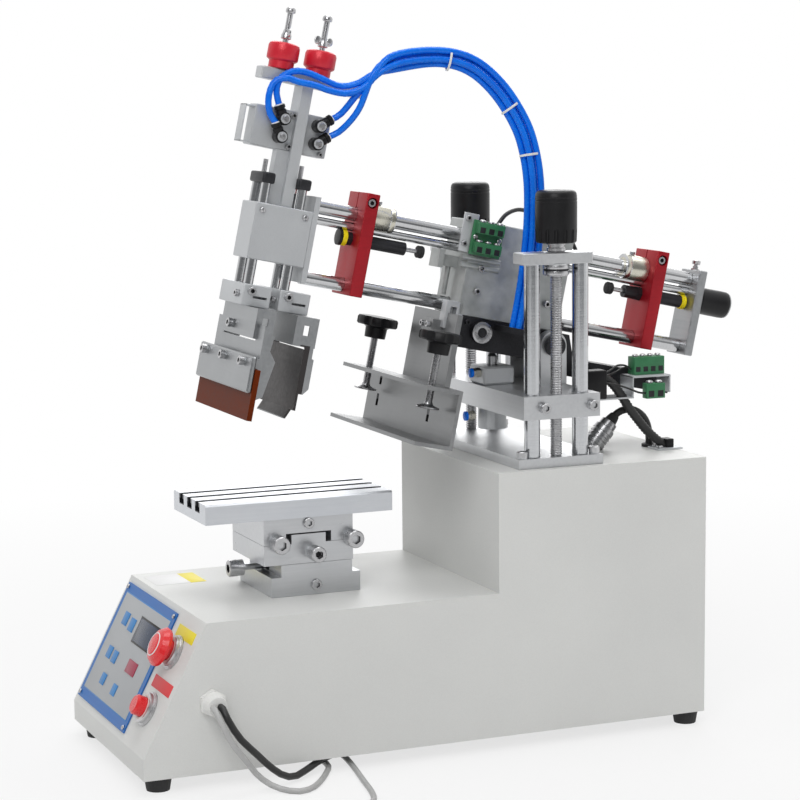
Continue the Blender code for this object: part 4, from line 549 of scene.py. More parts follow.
def coilRoute(values):
    radius, loops = values["radius"], values["loops"]
    points = []
    turns = 2 * loops + coilLook["climbTurns"]
    count = round(turns * coilLook["steps"])
    for index in range(count + 1):
        turn = turns * index / count
        inward = min(turn, loops)
        outward = max(turn - loops - coilLook["climbTurns"], 0)
        climb = min(max(turn - loops, 0) / coilLook["climbTurns"], 1)
        reach = values["outer"] - 2 * radius * coilLook["across"] * (inward - outward)
        angle = values["startAngle"] + 2 * math.pi * turn
        points.append(Vector((values["centre"][0] + reach * math.cos(angle),
                              values["centre"][1] + reach * math.sin(angle),
                              radius + coilLook["floorGap"] + 2 * radius * coilLook["stack"] * climb)))
    headingIn = (points[1] - points[0]).normalized()
    headingOut = points[-1] - points[-2]
    headingOut.z = 0
    headingOut.normalize()
    points.insert(0, points[0] - headingIn * 2 * radius)
    leave = points[-1]
    points.append(leave + headingOut * 2 * radius)
    for reach in (coilLook["leave"] - 2 * radius, coilLook["leave"]):
        points.append(Vector((*(leave + headingOut * reach).xy, values["restHeight"])))
    return points


def routeLength(points):
    return sum((after - before).length for before, after in zip(points, points[1:]))


def layTube(name, points, radius, look, sides=6):
    curve = bpy.data.curves.new(name, "CURVE")
    curve.dimensions = "3D"
    curve.bevel_depth = radius
    curve.bevel_resolution = sides
    curve.use_fill_caps = True
    spline = curve.splines.new("POLY")
    spline.points.add(len(points) - 1)
    for point, place in zip(spline.points, points):
        point.co = (*place, 1)
    spline.use_smooth = True
    curve.materials.append(look)
    made = bpy.data.objects.new(name, curve)
    bpy.context.scene.collection.objects.link(made)
    return made


def meshTube(name, points, radius, look, sides=3):
    made = layTube(name, points, radius, look, sides)
    startPiece()
    made.select_set(True)
    bpy.context.view_layer.objects.active = made
    bpy.ops.object.convert(target="MESH")
    return bpy.context.object


# both cords run from the gland over the deck's edge to the bench, then into a coil
mainsCord = {
    "radius": 0.0035, "outer": 0.078, "loops": 1.5, "centre": (-0.2350, 0.0600), "spacing": 0.012,
    "startAngle": math.radians(60), "restHeight": 0.0107,
    "route": ((0.1447, -0.2845, 0.0855), (0.1507, -0.2845, 0.0855), (0.1562, -0.2800, 0.0730),
        (0.1572, -0.2690, 0.0550), (0.1552, -0.2540, 0.0395), (0.1522, -0.2400, 0.0250),
        (0.1475, -0.2250, 0.0125), (0.1405, -0.2095, 0.0062), (0.1290, -0.1920, 0.0078),
        (0.1150, -0.1740, 0.0104), (0.1030, -0.1590, 0.0105), (0.0840, -0.1350, 0.0104),
        (0.0600, -0.1080, 0.0070), (0.0300, -0.0750, 0.0040), (-0.0300, -0.0150, 0.0037),
        (-0.0900, 0.0450, 0.0037), (-0.1400, 0.0915, 0.0037)),
}
signalCord = {
    "radius": 0.003, "outer": 0.070, "loops": 1.5, "centre": (0.3250, -0.2100), "spacing": 0.010,
    "startAngle": math.radians(180), "restHeight": 0.0077,
    "route": ((0.1447, -0.2923, 0.0855), (0.1507, -0.2923, 0.0855), (0.1590, -0.2890, 0.0740),
        (0.1632, -0.2800, 0.0540), (0.1612, -0.2650, 0.0340), (0.1570, -0.2520, 0.0170),
        (0.1605, -0.2380, 0.0060), (0.1720, -0.2265, 0.0032), (0.1790, -0.2150, 0.0032),
        (0.1720, -0.2010, 0.0032), (0.1540, -0.1860, 0.0032), (0.1310, -0.1715, 0.0032),
        (0.1120, -0.1620, 0.0032), (0.0900, -0.1600, 0.0032), (0.0690, -0.1600, 0.0032),
        (0.0570, -0.1500, 0.0032), (0.0600, -0.1390, 0.0032), (0.0760, -0.1345, 0.0032),
        (0.1120, -0.1380, 0.0032), (0.1740, -0.1490, 0.0032), (0.2120, -0.1560, 0.0032),
        (0.2370, -0.1650, 0.0032), (0.2505, -0.1820, 0.0032)),
}
cordGap = 0.0003


def cordRoute(values):
    coil = coilRoute(values)
    heading = (coil[1] - coil[0]).normalized()
    end = coil[0] - heading * cordGap
    lastStraight = end - heading * 2 * values["radius"]
    free = [Vector(values["route"][0])]
    free += smoothRoute((*values["route"][1:], lastStraight), values["spacing"])
    return free + [end] + coil


def layCord(name, values, look, nodes):
    points = cordRoute(values)
    made = layTube(name, points, values["radius"], look, 4)
    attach(made, "base")
    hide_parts(*nodes)
    routeLength(points)


layCord("mainsCord", mainsCord, looks["cordBlack"],
        ["mains_cord", "mains_coil"])
layCord("signalCord", signalCord, looks["cableGrey"],
        ["signal_cable", "signal_coil"])
print("cords laid")

# four air hoses: each leaves its elbow, joins the bundle over the head and goes down to the lug
hoseLook = {
    "radius": 0.0034, "spread": 0.0037, "spacing": 0.006, "headSide": -0.060, "strokeSide": -0.250,
    "stands": "hoseRightUpper",
}
hoseStarts = {
    "hoseRightUpper": ((0.75, 0.62), ((0.0125, -0.2712, 0.1612), (0.0150, -0.2620, 0.1700),
        (0.0300, -0.2500, 0.1980))),
    "hoseRightLower": ((-0.75, -0.62), ((0.0125, -0.2712, 0.1432), (0.0170, -0.2600, 0.1530),
        (0.0280, -0.2500, 0.1760), (0.0340, -0.2440, 0.2120))),
    "hoseLeftUpper": ((-0.75, 1.85), ((0.0125, -0.3285, 0.1644), (0.0135, -0.3345, 0.1780),
        (0.0145, -0.3320, 0.1920), (0.0160, -0.3200, 0.2005), (0.0165, -0.3060, 0.2015),
        (0.0180, -0.2900, 0.1985), (0.0215, -0.2720, 0.1950), (0.0270, -0.2560, 0.2010),
        (0.0330, -0.2430, 0.2130))),
    "hoseLeftLower": ((0.75, -1.85), ((0.0125, -0.3285, 0.1464), (0.0140, -0.3380, 0.1560),
        (0.0150, -0.3420, 0.1720), (0.0155, -0.3380, 0.1870), (0.0195, -0.3250, 0.1925),
        (0.0205, -0.3180, 0.1905), (0.0225, -0.3000, 0.1905), (0.0250, -0.2800, 0.1880),
        (0.0280, -0.2620, 0.1900), (0.0330, -0.2460, 0.2035))),
}
hoseMiddle = ((0.0350, -0.2280, 0.2270), (0.0380, -0.1820, 0.2430), (0.0420, -0.1450, 0.2425),
              (0.0470, -0.1120, 0.2250), (0.0530, -0.0840, 0.1960), (0.0580, -0.0690, 0.1680),
              (0.0610, -0.0580, 0.1340), (0.0620, -0.0500, 0.0900), (0.0620, -0.0460, 0.0450),
              (0.0620, -0.0450, 0.0120), (0.0620, -0.0450, -0.0117))


def bundlePoint(index, sides):
    before = Vector(hoseMiddle[max(index - 1, 0)])
    after = Vector(hoseMiddle[min(index + 1, len(hoseMiddle) - 1)])
    across = (after - before).cross(Vector((1, 0, 0))).normalized()
    return Vector(hoseMiddle[index]) + hoseLook["spread"] * (sides[0] * Vector((1, 0, 0)) + sides[1] * across)


def layHoses():
    for name, (sides, begin) in hoseStarts.items():
        route = [Vector(point) for point in begin]
        route += [bundlePoint(index, sides) for index in range(len(hoseMiddle))]
        points = [benches["head"] @ point for point in smoothRoute(route, hoseLook["spacing"])]
        made = meshTube(name, points, hoseLook["radius"], looks["hoseBlue"])
        bridgeHead(made)
        routeLength(points)
        if name == hoseLook["stands"]:
            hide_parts("hose_bundle")


layHoses()
print("hoses laid")

# control panel's printed face, on the front slope
panelFace = {
    "top": 0.00182, "field": (-0.109, 0.0195, 0.041, 0.1265), "fieldRise": 0.0003, "rim": 0.0012,
    "rimRise": 0.00015, "keyRise": 0.0007, "display": (-0.035, 0.0885, 0.024, 0.1130), "displayRim": 0.002,
    "displayRimRise": 0.0005, "displayRise": 0.0009,
    "blueKeys": ((-0.086, 0.096, -0.070, 0.110), (-0.062, 0.094, -0.046, 0.108),
        (-0.088, 0.058, -0.074, 0.071), (-0.068, 0.057, -0.054, 0.070), (-0.072, 0.032, -0.058, 0.044),
        (-0.030, 0.030, -0.016, 0.042)),
    "maroonKey": (-0.018, 0.058, 0.011, 0.072), "screw": 0.0024,
    "screwSpots": ((-0.112, 0.0125), (0.044, 0.0125), (-0.112, 0.1325), (0.044, 0.1325)),
}


def slab(corners, low, high, look, bevel=0.0002):
    left, bottom, right, top = corners
    return wear(block((left, bottom, low), (right, top, high), bevel), look)


def grown(corners, rim):
    left, bottom, right, top = corners
    return left - rim, bottom - rim, right + rim, top + rim


def makePanelFace():
    top = panelFace["top"]
    field = top + panelFace["fieldRise"]
    keys = [(corners, "keyBlue") for corners in panelFace["blueKeys"]] + [(panelFace["maroonKey"], "keyMaroon")]
    edge = grown(panelFace["field"], panelFace["rim"])
    parts = [slab(edge, top, top + panelFace["rimRise"], "keyBlue", 0.00005),
             slab(panelFace["field"], top, field, "panelGrey", 0.0001)]
    parts += [slab(corners, field, field + panelFace["keyRise"], look) for corners, look in keys]
    edge = grown(panelFace["display"], panelFace["displayRim"])
    parts += [slab(edge, field, field + panelFace["displayRimRise"], "blackPlastic"),
              slab(panelFace["display"], field, field + panelFace["displayRise"], "displayGlass")]
    parts += [copyAt("button", (*spot, top), alongZ, panelFace["screw"]) for spot in panelFace["screwSpots"]]
    settle(together(parts), "panelFace", "base", "slope")


makePanelFace()

# bare labels: two on the slope, one on the deck
labelSpots = {
    "slopeLabels": ("slope", 0, (((0.0620, 0.1180, 0.1140, 0.1300), "labelYellow"),
        ((0.0600, 0.0630, 0.1160, 0.0755), "labelRed"))),
    "deckLabel": ("floor", 0.1640, (((-0.1080, -0.2830, -0.0600, -0.2460), "labelWhite"),
        ((-0.1080, -0.2460, -0.0600, -0.2290), "labelYellow"))),
}
labelThick, labelBevel = 0.0003, 0.00008


def makeLabels():
    for name, (bench, low, spots) in labelSpots.items():
        parts = [slab(corners, low, low + labelThick, look, labelBevel) for corners, look in spots]
        settle(together(parts), name, "base", bench)


makeLabels()

# bright collars round both push buttons, and the pale ring on the mushroom head
buttonCollar = {
    "across": 0.081, "climbs": (0.103, 0.0425), "bore": 0.0110,
    "rings": ((0.0176, 0.0022, 40), (0.0170, 0.0034, 12), (0.0156, 0.0070, 40)),
    "paleHeight": 0.0236, "paleReach": 0.0115, "paleRadius": 0.0006,
}


def makeCollars():
    across = buttonCollar["across"]
    parts = []
    for climb in buttonCollar["climbs"]:
        for outer, height, sides in buttonCollar["rings"]:
            parts.append(wear(ring((across, climb, 0), alongZ, buttonCollar["bore"], outer, height, sides),
                              "bareSteel"))
    settle(together(parts), "buttonCollars", "base", "slope")
    startPiece()
    bpy.ops.mesh.primitive_torus_add(location=(across, buttonCollar["climbs"][0], buttonCollar["paleHeight"]),
                                     major_radius=buttonCollar["paleReach"], major_segments=48,
                                     minor_radius=buttonCollar["paleRadius"], minor_segments=8)
    settle(wear(bpy.context.object, "labelWhite"), "mushroomRing", "estop", "slope", 80)


makeCollars()
print("front slope made")

# stroke knobs: red cap, long bolt with a round head, wing nut
strokeKnob = {
    "places": (("knobFront", -0.3297, "knob_front", "stroke_knob_front", 0),
        ("knobRear", -0.2897, "knob_rear", "stroke_knob_rear", 90)),
    "seat": 0.2005, "nutRise": 0.0335,
    "cap": ((0, 0.0120), (0.0006, 0.0128), (0.0075, 0.0128), (0.0092, 0.0154), (0.0102, 0.0160),
        (0.0222, 0.0160), (0.0248, 0.0150), (0.0261, 0.0128), (0.0265, 0.0098)),
    "bolt": ((0.0200, 0.0030), (0.0566, 0.0030), (0.0566, 0.0046), (0.0580, 0.0051), (0.0604, 0.0049),
        (0.0620, 0.0036), (0.0625, 0.0018)),
    "hub": ((0.0302, 0.0046), (0.0308, 0.0052), (0.0340, 0.0052), (0.0372, 0.0040)),
    "lobe": ((0, 0.0026), (0.0004, 0.0034), (0.0020, 0.0034), (0.0024, 0.0026)),
    "lobeReach": 0.0064, "lobeRise": 0.0024, "lobeHalf": 0.0012, "lobeStretch": 1.25,
    "arm": ((0.0020, 0.0019), (0.0064, 0.0013)), "armRise": 0.28,
}


def wing(side, turn, at):
    spin = Matrix.Rotation(math.radians(turn), 3, "Z")
    heading, flat = spin @ Vector((side, 0, 0)), spin @ Vector(alongY)
    spot = Vector(at) + heading * strokeKnob["lobeReach"] + Vector((0, 0, strokeKnob["lobeRise"]))
    lobe = lathe(spot - flat * strokeKnob["lobeHalf"], flat, strokeKnob["lobe"], 16, "bareSteel")
    stretch(lobe, (1, 1, strokeKnob["lobeStretch"]), at)
    slope = heading + Vector((0, 0, strokeKnob["armRise"]))
    return together([lobe, lathe(at, slope, strokeKnob["arm"], 10, "bareSteel")])


def makeStrokeKnobs():
    for name, place, body, node, turn in strokeKnob["places"]:
        at = (0, place, strokeKnob["seat"])
        nut = (0, place, strokeKnob["seat"] + strokeKnob["nutRise"])
        parts = [lathe(at, alongZ, strokeKnob["cap"], 48, "knobRed"),
                 lathe(at, alongZ, strokeKnob["bolt"], 20, "bareSteel"),
                 lathe(at, alongZ, strokeKnob["hub"], 20, "bareSteel"),
                 wing(1, turn, nut), wing(-1, turn, nut)]
        settle(together(parts), name, body, "head", replaces=(node,))


makeStrokeKnobs()

# lift: knobs with open flutes on threaded lead screws, nuts and socket screws
liftScrew = {
    "sides": (("Near", 1, "height_near", "height_screw_near"),
        ("Far", -1, "height_far", "height_screw_far")),
    "x": 0.104, "y": 0.09523, "thread": (0.2976, 0.5062, 0.0025, 0.0054, 0.0060),
    "neck": ((0.5062, 0.0086), (0.5068, 0.0094), (0.5098, 0.0094), (0.5102, 0.0080), (0.5128, 0.0080),
        (0.5132, 0.0094), (0.5154, 0.0094)),
    "knob": ((0.5152, 0.0170), (0.5152, 0.0196), (0.5166, 0.0208), (0.5300, 0.0213), (0.5568, 0.0213),
        (0.5572, 0.0210), (0.5578, 0.0210), (0.5582, 0.0213), (0.5604, 0.0213), (0.5608, 0.0210),
        (0.5614, 0.0210), (0.5618, 0.0212), (0.5650, 0.0206), (0.5668, 0.0194), (0.5680, 0.0172),
        (0.5682, 0.0110)),
    "flutes": 14, "fluteReach": 0.0213,
    "flute": ((0.5140, 0.0021), (0.5275, 0.0021), (0.5295, 0.0008)),
    "rings": ((0.4890, 0.0120, 0.0134, 0.0036, "bareSteel"), (0.4868, 0.0120, 0.0129, 0.0022, "blackOxide"),
        (0.4830, 0.0120, 0.0134, 0.0038, "bareSteel"), (0.4818, 0.0064, 0.0122, 0.0016, "bareSteel")),
    "baseScrews": (0.109, 0.041, 0.2972, 0.0058), "liftScrews": (0.1179, 0.02735, 0.3493, 0.0054),
    "liftShift": 0.0065,
}
# shares of a thread's pitch: the root's end, the crest's start and the crest's end
threadShares = (0.18, 0.45, 0.73)


def threadProfile(low, high, pitch, core, crest):
    profile = []
    root, rise, fall = threadShares
    for turn in range(int((high - low) / pitch)):
        start = low + turn * pitch
        profile += [(start, core), (start + pitch * root, core), (start + pitch * rise, crest),
                    (start + pitch * fall, crest)]
    return profile + [(high, core)]


def makeLiftScrews():
    for name, side, body, node in liftScrew["sides"]:
        at = (side * liftScrew["x"], liftScrew["y"], 0)
        knob = turned(at, alongZ, liftScrew["knob"], 56)
        flutes = around(at, liftScrew["flutes"], liftScrew["fluteReach"], liftScrew["flute"], 10)
        cutAway(knob, [together(flutes)])
        parts = [wear(knob, "blackPlastic"),
                 lathe(at, alongZ, threadProfile(*liftScrew["thread"]), 24, "bareSteel"),
                 lathe(at, alongZ, liftScrew["neck"], 32, "bareSteel")]
        settle(together(parts), "heightScrew" + name, body, replaces=(node,))


makeLiftScrews()


def makeLiftTrim():
    place = liftScrew["y"]
    nuts = [wear(ring((side * liftScrew["x"], place, low), alongZ, inner, outer, height), look)
            for side in (1, -1) for low, inner, outer, height, look in liftScrew["rings"]]
    settle(together(nuts), "topBarNuts", "base")
    corners = [(side, end) for side in (1, -1) for end in (1, -1)]
    across, along, height, size = liftScrew["baseScrews"]
    fitScrews("baseScrews", "base", "floor",
              [("socket", (side * across, place + end * along, height), alongZ, size) for side, end in corners])
    across, along, height, size = liftScrew["liftScrews"]
    shift = liftScrew["liftShift"]
    fitScrews("liftScrews", "lift", "floor",
              [("socket", (side * across, place + end * along + shift, height), (side, 0, 0), size)
               for side, end in corners])


makeLiftTrim()
print("lift made")

# frame clamp: scalloped knobs on threaded spindles with flat feet
frameClamp = {
    "sides": (("Near", 0.083, "spindle_near", "clamp_near", "clamp_spindle_near", "clamp_knob_near"),
        ("Far", -0.083, "spindle_far", "clamp_far", "clamp_spindle_far", "clamp_knob_far")),
    "place": -0.1405,
    "foot": ((-0.1065, 0.0113), (-0.1060, 0.0120), (-0.1047, 0.0120), (-0.1036, 0.0080), (-0.1022, 0.0050),
        (-0.1000, 0.0042)),
    "thread": (-0.1004, -0.0500, 0.00125, 0.0034, 0.0040),
    "knob": ((-0.0510, 0.0102), (-0.0505, 0.0112), (-0.0400, 0.0117), (-0.0385, 0.0140), (-0.0380, 0.0205),
        (-0.0365, 0.0219), (-0.0305, 0.0219), (-0.0285, 0.0205), (-0.0275, 0.0150), (-0.0270, 0.0060)),
    "scallops": 7, "scallopReach": 0.0283, "scallop": ((-0.0420, 0.0085), (-0.0200, 0.0085)),
}


def makeFrameClamp():
    for side, across, body, knobBody, spindle, knobNode in frameClamp["sides"]:
        at = (across, frameClamp["place"], 0)
        parts = [lathe(at, alongZ, frameClamp["foot"], 32, "bareSteel"),
                 lathe(at, alongZ, threadProfile(*frameClamp["thread"]), 16, "bareSteel")]
        settle(together(parts), "clampSpindle" + side, body, "head", replaces=(spindle,))
        knob = turned(at, alongZ, frameClamp["knob"], 64)
        cutAway(knob, around(at, frameClamp["scallops"], frameClamp["scallopReach"], frameClamp["scallop"], 24))
        settle(wear(knob, "blackPlastic"), "clampKnob" + side, knobBody, "head",
               replaces=(knobNode,))


makeFrameClamp()
print("frame clamp made")

# blade guides: black yoke, two ground rods and a slit clamp bar
bladeGuide = {
    "rod": ((-0.0330, 0.0044), (-0.0326, 0.0048), (0.0880, 0.0048)),
    "rodSide": 0.0140, "yoke": (0.0200, 0.0068, 0.0860, 0.0970), "yokeBevel": 0.0022,
    "pin": ((0.0960, 0.0025), (0.1100, 0.0025)), "barEnds": (-0.0460, 0.0220), "bar": (-0.0375, -0.0160),
    "barBevel": 0.0012, "slit": (-0.0292, -0.0268), "slitRun": (0.012, 0.002), "slitDepth": 0.0150,
    "slitInset": 0.004, "sideScrew": (0.0004, 0.0085, -0.0222, 0.0042),
    "frontScrew": (0.0120, 0.0004, -0.0268, 0.0036),
    "guides": (("squeegeeGuide", "squeegee", "squeegee_guide", -0.3275, -0.3345, -0.3040),
        ("floodGuide", "flood", "flood_guide", -0.2884, -0.2950, -0.2620)),
}


def makeGuides():
    halfWidth, halfDepth, yokeLow, yokeHigh = bladeGuide["yoke"]
    far, near = bladeGuide["barEnds"]
    low, high = bladeGuide["bar"]
    slitLow, slitHigh = bladeGuide["slit"]
    slitFar, slitNear = bladeGuide["slitRun"]
    inset, depth = bladeGuide["slitInset"], bladeGuide["slitDepth"]
    sideRun, sideIn, sideHeight, sideSize = bladeGuide["sideScrew"]
    frontRun, frontIn, frontHeight, frontSize = bladeGuide["frontScrew"]
    for name, body, node, place, front, rear in bladeGuide["guides"]:
        bar = block((far, front, low), (near, rear, high), bladeGuide["barBevel"], 3)
        cutAway(bar, [block((near - slitFar, rear - depth - inset, slitLow),
                            (near + slitNear, rear - inset, slitHigh), 0.0002, 1)])
        yoke = block((-halfWidth, place - halfDepth, yokeLow), (halfWidth, place + halfDepth, yokeHigh),
                     bladeGuide["yokeBevel"], 3)
        parts = [wear(bar, "blastedPlate"), wear(yoke, "blackOxide"),
                 lathe((0, place, 0), alongZ, bladeGuide["pin"], 16, "bareSteel"),
                 copyAt("socket", (near - sideRun, front + sideIn, sideHeight), alongX, sideSize),
                 copyAt("socket", (near - frontRun, front + frontIn, frontHeight), (0, -1, 0), frontSize)]
        for side in (1, -1):
            parts.append(lathe((side * bladeGuide["rodSide"], place, 0), alongZ, bladeGuide["rod"], 40,
                               "groundGuide"))
        settle(together(parts), name, body, "head", replaces=(node,))


makeGuides()
print("guides made")

# red stop blocks with a counterbored screw in each side, and a slit over the tube
stopBlock = {
    "half": 0.0070, "halfWidth": 0.0250, "low": -0.0100, "high": 0.0960, "bevel": 0.0009, "overrun": 0.012,
    "slit": (0.0008, 0.0740, 0.0990), "screwHeight": 0.0865, "screw": 0.0043, "boreRadius": 0.0056,
    "boreDepth": 0.0075,
    "blocks": (("stopFront", "front_stop_block", -0.2152), ("stopRear", "rear_stop_block", 0.1268)),
    "bores": ((0.0730, 0.0077), (0.0595, 0.0047), (0.0472, 0.0070), (0, 0.00745)),
}


def makeStopBlocks():
    half, width, past = stopBlock["half"], stopBlock["halfWidth"], stopBlock["overrun"]
    slit, slitLow, slitHigh = stopBlock["slit"]
    bore = ((0, stopBlock["boreRadius"]), (past, stopBlock["boreRadius"]))
    for name, node, place in stopBlock["blocks"]:
        made = block((-width, place - half, stopBlock["low"]), (width, place + half, stopBlock["high"]),
                     stopBlock["bevel"], 3)
        cutters = [turned((0, place, height), alongY, ((-past, radius), (past, radius)), 40)
                   for height, radius in stopBlock["bores"]]
        cutters.append(block((-slit, place - past, slitLow), (slit, place + past, slitHigh), 0.0001, 1))
        screws = []
        for side in (1, -1):
            at = (side * (width - stopBlock["boreDepth"]), place, stopBlock["screwHeight"])
            cutters.append(turned(at, (side, 0, 0), bore, 28))
            screws.append(copyAt("socket", at, (side, 0, 0), stopBlock["screw"]))
        cutAway(made, cutters)
        settle(together([wear(made, "redAnodised")] + screws), name, "stroke", "head",
               replaces=(node,))


makeStopBlocks()

# shock absorbers' coloured ends, plungers, nickel collars and the end knob
damperTrim = {
    "height": 0.0472, "frontEnd": -0.2370, "rearEnd": 0.1751,
    "frontNut": ((-0.0002, 0.0062), (0.0002, 0.0084), (0.0034, 0.0086), (0.0038, 0.0070)),
    "frontCap": ((0.0036, 0.0078), (0.0040, 0.0083), (0.0086, 0.0083), (0.0090, 0.0074)),
    "rearCap": ((-0.0012, 0.0066), (0, 0.0080), (0.0046, 0.0080), (0.0050, 0.0074)),
    "collar": ((0, 0.0120), (0.0010, 0.0138), (0.0200, 0.0138), (0.0206, 0.0134), (0.0215, 0.0134),
        (0.0221, 0.0138), (0.0258, 0.0138), (0.0268, 0.0126), (0.0270, 0.0100)),
    "collarHeight": 0.0730, "collarLength": 0.0270, "frontCollar": -0.2079, "rearCollar": 0.0925,
    "screwPlace": 0.010, "screwHeight": 0.0864, "screw": 0.0030,
}


def makeDamperTrim():
    front = (0, damperTrim["frontEnd"], damperTrim["height"])
    rear = (0, damperTrim["rearEnd"], damperTrim["height"])
    caps = [lathe(front, alongY, damperTrim["frontNut"], 36, "blackPlastic"),
            lathe(front, alongY, damperTrim["frontCap"], 36, "capYellow"),
            lathe(rear, (0, -1, 0), damperTrim["rearCap"], 36, "capYellow")]
    settle(together(caps), "damperCaps", "stroke", "head")
    front, rear, height = damperTrim["frontCollar"], damperTrim["rearCollar"], damperTrim["collarHeight"]
    collars = [lathe((0, front, height), alongY, damperTrim["collar"], 48, "nickel"),
               lathe((0, rear + damperTrim["collarLength"], height), (0, -1, 0), damperTrim["collar"], 48,
                     "nickel")]
    collars += [copyAt("socket", (0, place + damperTrim["screwPlace"], damperTrim["screwHeight"]), alongZ,
                       damperTrim["screw"]) for place in (front, rear)]
    settle(together(collars), "tubeCollars", "stroke", "head")


plunger = {
    "rod": ((0, 0.0025), (0.0335, 0.0025)), "seat": 0.0128,
    "tip": ((0.0270, 0.0030), (0.0273, 0.0058), (0.0280, 0.0064), (0.0296, 0.0064), (0.0300, 0.0059),
        (0.0306, 0.0059), (0.0310, 0.0065), (0.0332, 0.0065), (0.0340, 0.0060), (0.0345, 0.0040)),
    "ends": (("plungerFront", "plunger_front", "front_plunger", -0.1617, 1),
        ("plungerRear", "plunger_rear", "rear_plunger", 0.0998, -1)),
}


def makePlungers():
    for name, body, node, mouth, way in plunger["ends"]:
        at = (0, mouth - way * plunger["seat"], damperTrim["height"])
        parts = [lathe(at, (0, way, 0), plunger["tip"], 32, "blackRubber"),
                 lathe(at, (0, way, 0), plunger["rod"], 20, "bareSteel")]
        settle(together(parts), name, body, "head", replaces=(node,))


endKnob = {
    "at": (0, 0.1873, 0.0522),
    "grip": ((0, 0.0150), (0.0008, 0.0162), (0.0042, 0.0162), (0.0050, 0.0148), (0.0066, 0.0144),
        (0.0330, 0.0146), (0.0380, 0.0144), (0.0400, 0.0132), (0.0403, 0.0090)),
    "thumbAt": (0, 0.1823, 0.0840), "nutAt": (0, 0.1823, 0.0838), "nut": ((0, 0.0050), (0.0014, 0.0050)),
    "thumb": ((0, 0.0022), (0.0060, 0.0022), (0.0060, 0.0042), (0.0066, 0.0046), (0.0098, 0.0046),
        (0.0104, 0.0040)),
}


def makeEndKnob():
    made = lathe(endKnob["at"], alongY, endKnob["grip"], 48, "blackPlastic")
    settle(made, "endKnob", "stroke", "head")
    thumb = [lathe(endKnob["thumbAt"], alongZ, endKnob["thumb"], 24, "bareSteel"),
             lathe(endKnob["nutAt"], alongZ, endKnob["nut"], 6, "bareSteel")]
    settle(together(thumb), "endThumbScrew", "stroke", "head")


makeDamperTrim()
makePlungers()
makeEndKnob()
print("stroke stops made")

# hose elbows on the port block
elbow = {
    "seat": 0.0052, "across": 0.0125, "heights": (0.1342, 0.1522),
    "sides": ((-0.2820, (0, 0.77, 0.64)), (-0.3215, (0, -0.5, 0.87))),
    "body": ((0, 0.0062), (0.0006, 0.0066), (0.0118, 0.0066), (0.0132, 0.0054)),
    "screw": ((0.0128, 0.0036), (0.0150, 0.0036), (0.0156, 0.0030)),
    "collar": ((0.0010, 0.0040), (0.0040, 0.0052), (0.0090, 0.0054), (0.0094, 0.0046), (0.0104, 0.0046),
        (0.0108, 0.0056), (0.0140, 0.0056), (0.0144, 0.0050)),
    "lip": ((0.0136, 0.0048), (0.0150, 0.0046), (0.0156, 0.0040)),
}


def makeElbows():
    parts = []
    for place, way in elbow["sides"]:
        for height in elbow["heights"]:
            seat, bend = (elbow["seat"], place, height), (elbow["across"], place, height)
            parts += [lathe(seat, alongX, elbow["body"], 24, "blackPlastic"),
                      lathe(seat, alongX, elbow["screw"], 6, "bareSteel"),
                      lathe(bend, way, elbow["collar"], 24, "blackPlastic"),
                      lathe(bend, way, elbow["lip"], 24, "labelWhite")]
    settle(together(parts), "hoseElbows", "stroke", "head")


makeElbows()

# screws of the squeegee's jaw and saddle
holderScrews = {
    "size": 0.0046,
    "spots": ((-0.058, -0.3334, -0.0905), (0, -0.3334, -0.0905), (0.058, -0.3334, -0.0905),
        (-0.015, -0.3259, -0.0580)),
}


def makeHolderScrews():
    fitScrews("squeegeeScrews", "squeegee", "head",
              [("socket", spot, (0, -1, 0), holderScrews["size"]) for spot in holderScrews["spots"]])


makeHolderScrews()


# hex socket faces on the stage's locks, feed heads and set screws
stageCaps = {
    "locks": ((-0.1888, 0.2194), (-0.1091, 0.2194)), "lockFace": 0.0581, "lockRadius": 0.0091,
    "setTop": (-0.1555, 0.2381), "setBase": (-0.1480, 0.1742), "setFace": 0.0489, "setRadius": 0.0056,
    "sideRadius": 0.0081, "frontRadius": 0.0086, "rise": 0.0009,
}


def capAt(at, along, radius):
    seat = Vector(at) - Vector(along) * (screwHead["height"] * radius - stageCaps["rise"])
    return copyAt("socket", seat, along, radius)


def makeStageCaps():
    top = [capAt((stageCaps["lockFace"], *spot), alongX, stageCaps["lockRadius"])
           for spot in stageCaps["locks"]]
    top.append(capAt((stageCaps["setFace"], *stageCaps["setTop"]), alongX, stageCaps["setRadius"]))
    settle(together(top), "lockScrews", "top")
    base = capAt((stageCaps["setFace"], *stageCaps["setBase"]), alongX, stageCaps["setRadius"])
    settle(base, "stageSetScrew", "base")
    low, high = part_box("feed_screw_side")
    side = capAt((high[0], (low[1] + high[1]) / 2, (low[2] + high[2]) / 2), alongX, stageCaps["sideRadius"])
    settle(side, "feedSideCap", "feed_side")
    low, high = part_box("feed_screw_front")
    front = capAt(((low[0] + high[0]) / 2, low[1], (low[2] + high[2]) / 2), (0, -1, 0),
                  stageCaps["frontRadius"])
    settle(front, "feedFrontCap", "feed_front")


makeStageCaps()
print("holders made")


# thin wires: a smooth tube along points given on a bench
def layWire(name, bench, points, radius, body, spacing=0.004, ridge=0, farBody=None):
    places = [benches[bench] @ point for point in smoothRoute(points, spacing)]
    made = meshTube(name, places, radius, looks["cordBlack"])
    if ridge:
        for vertex in made.data.vertices:
            nearest = min(range(len(places)), key=lambda index: (places[index] - vertex.co).length)
            if nearest % 2 and 0 < nearest < len(places) - 1:
                vertex.co = places[nearest] + (vertex.co - places[nearest]) * ridge
    if farBody:
        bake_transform(made)
    else:
        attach(made, body)
    routeLength(places)
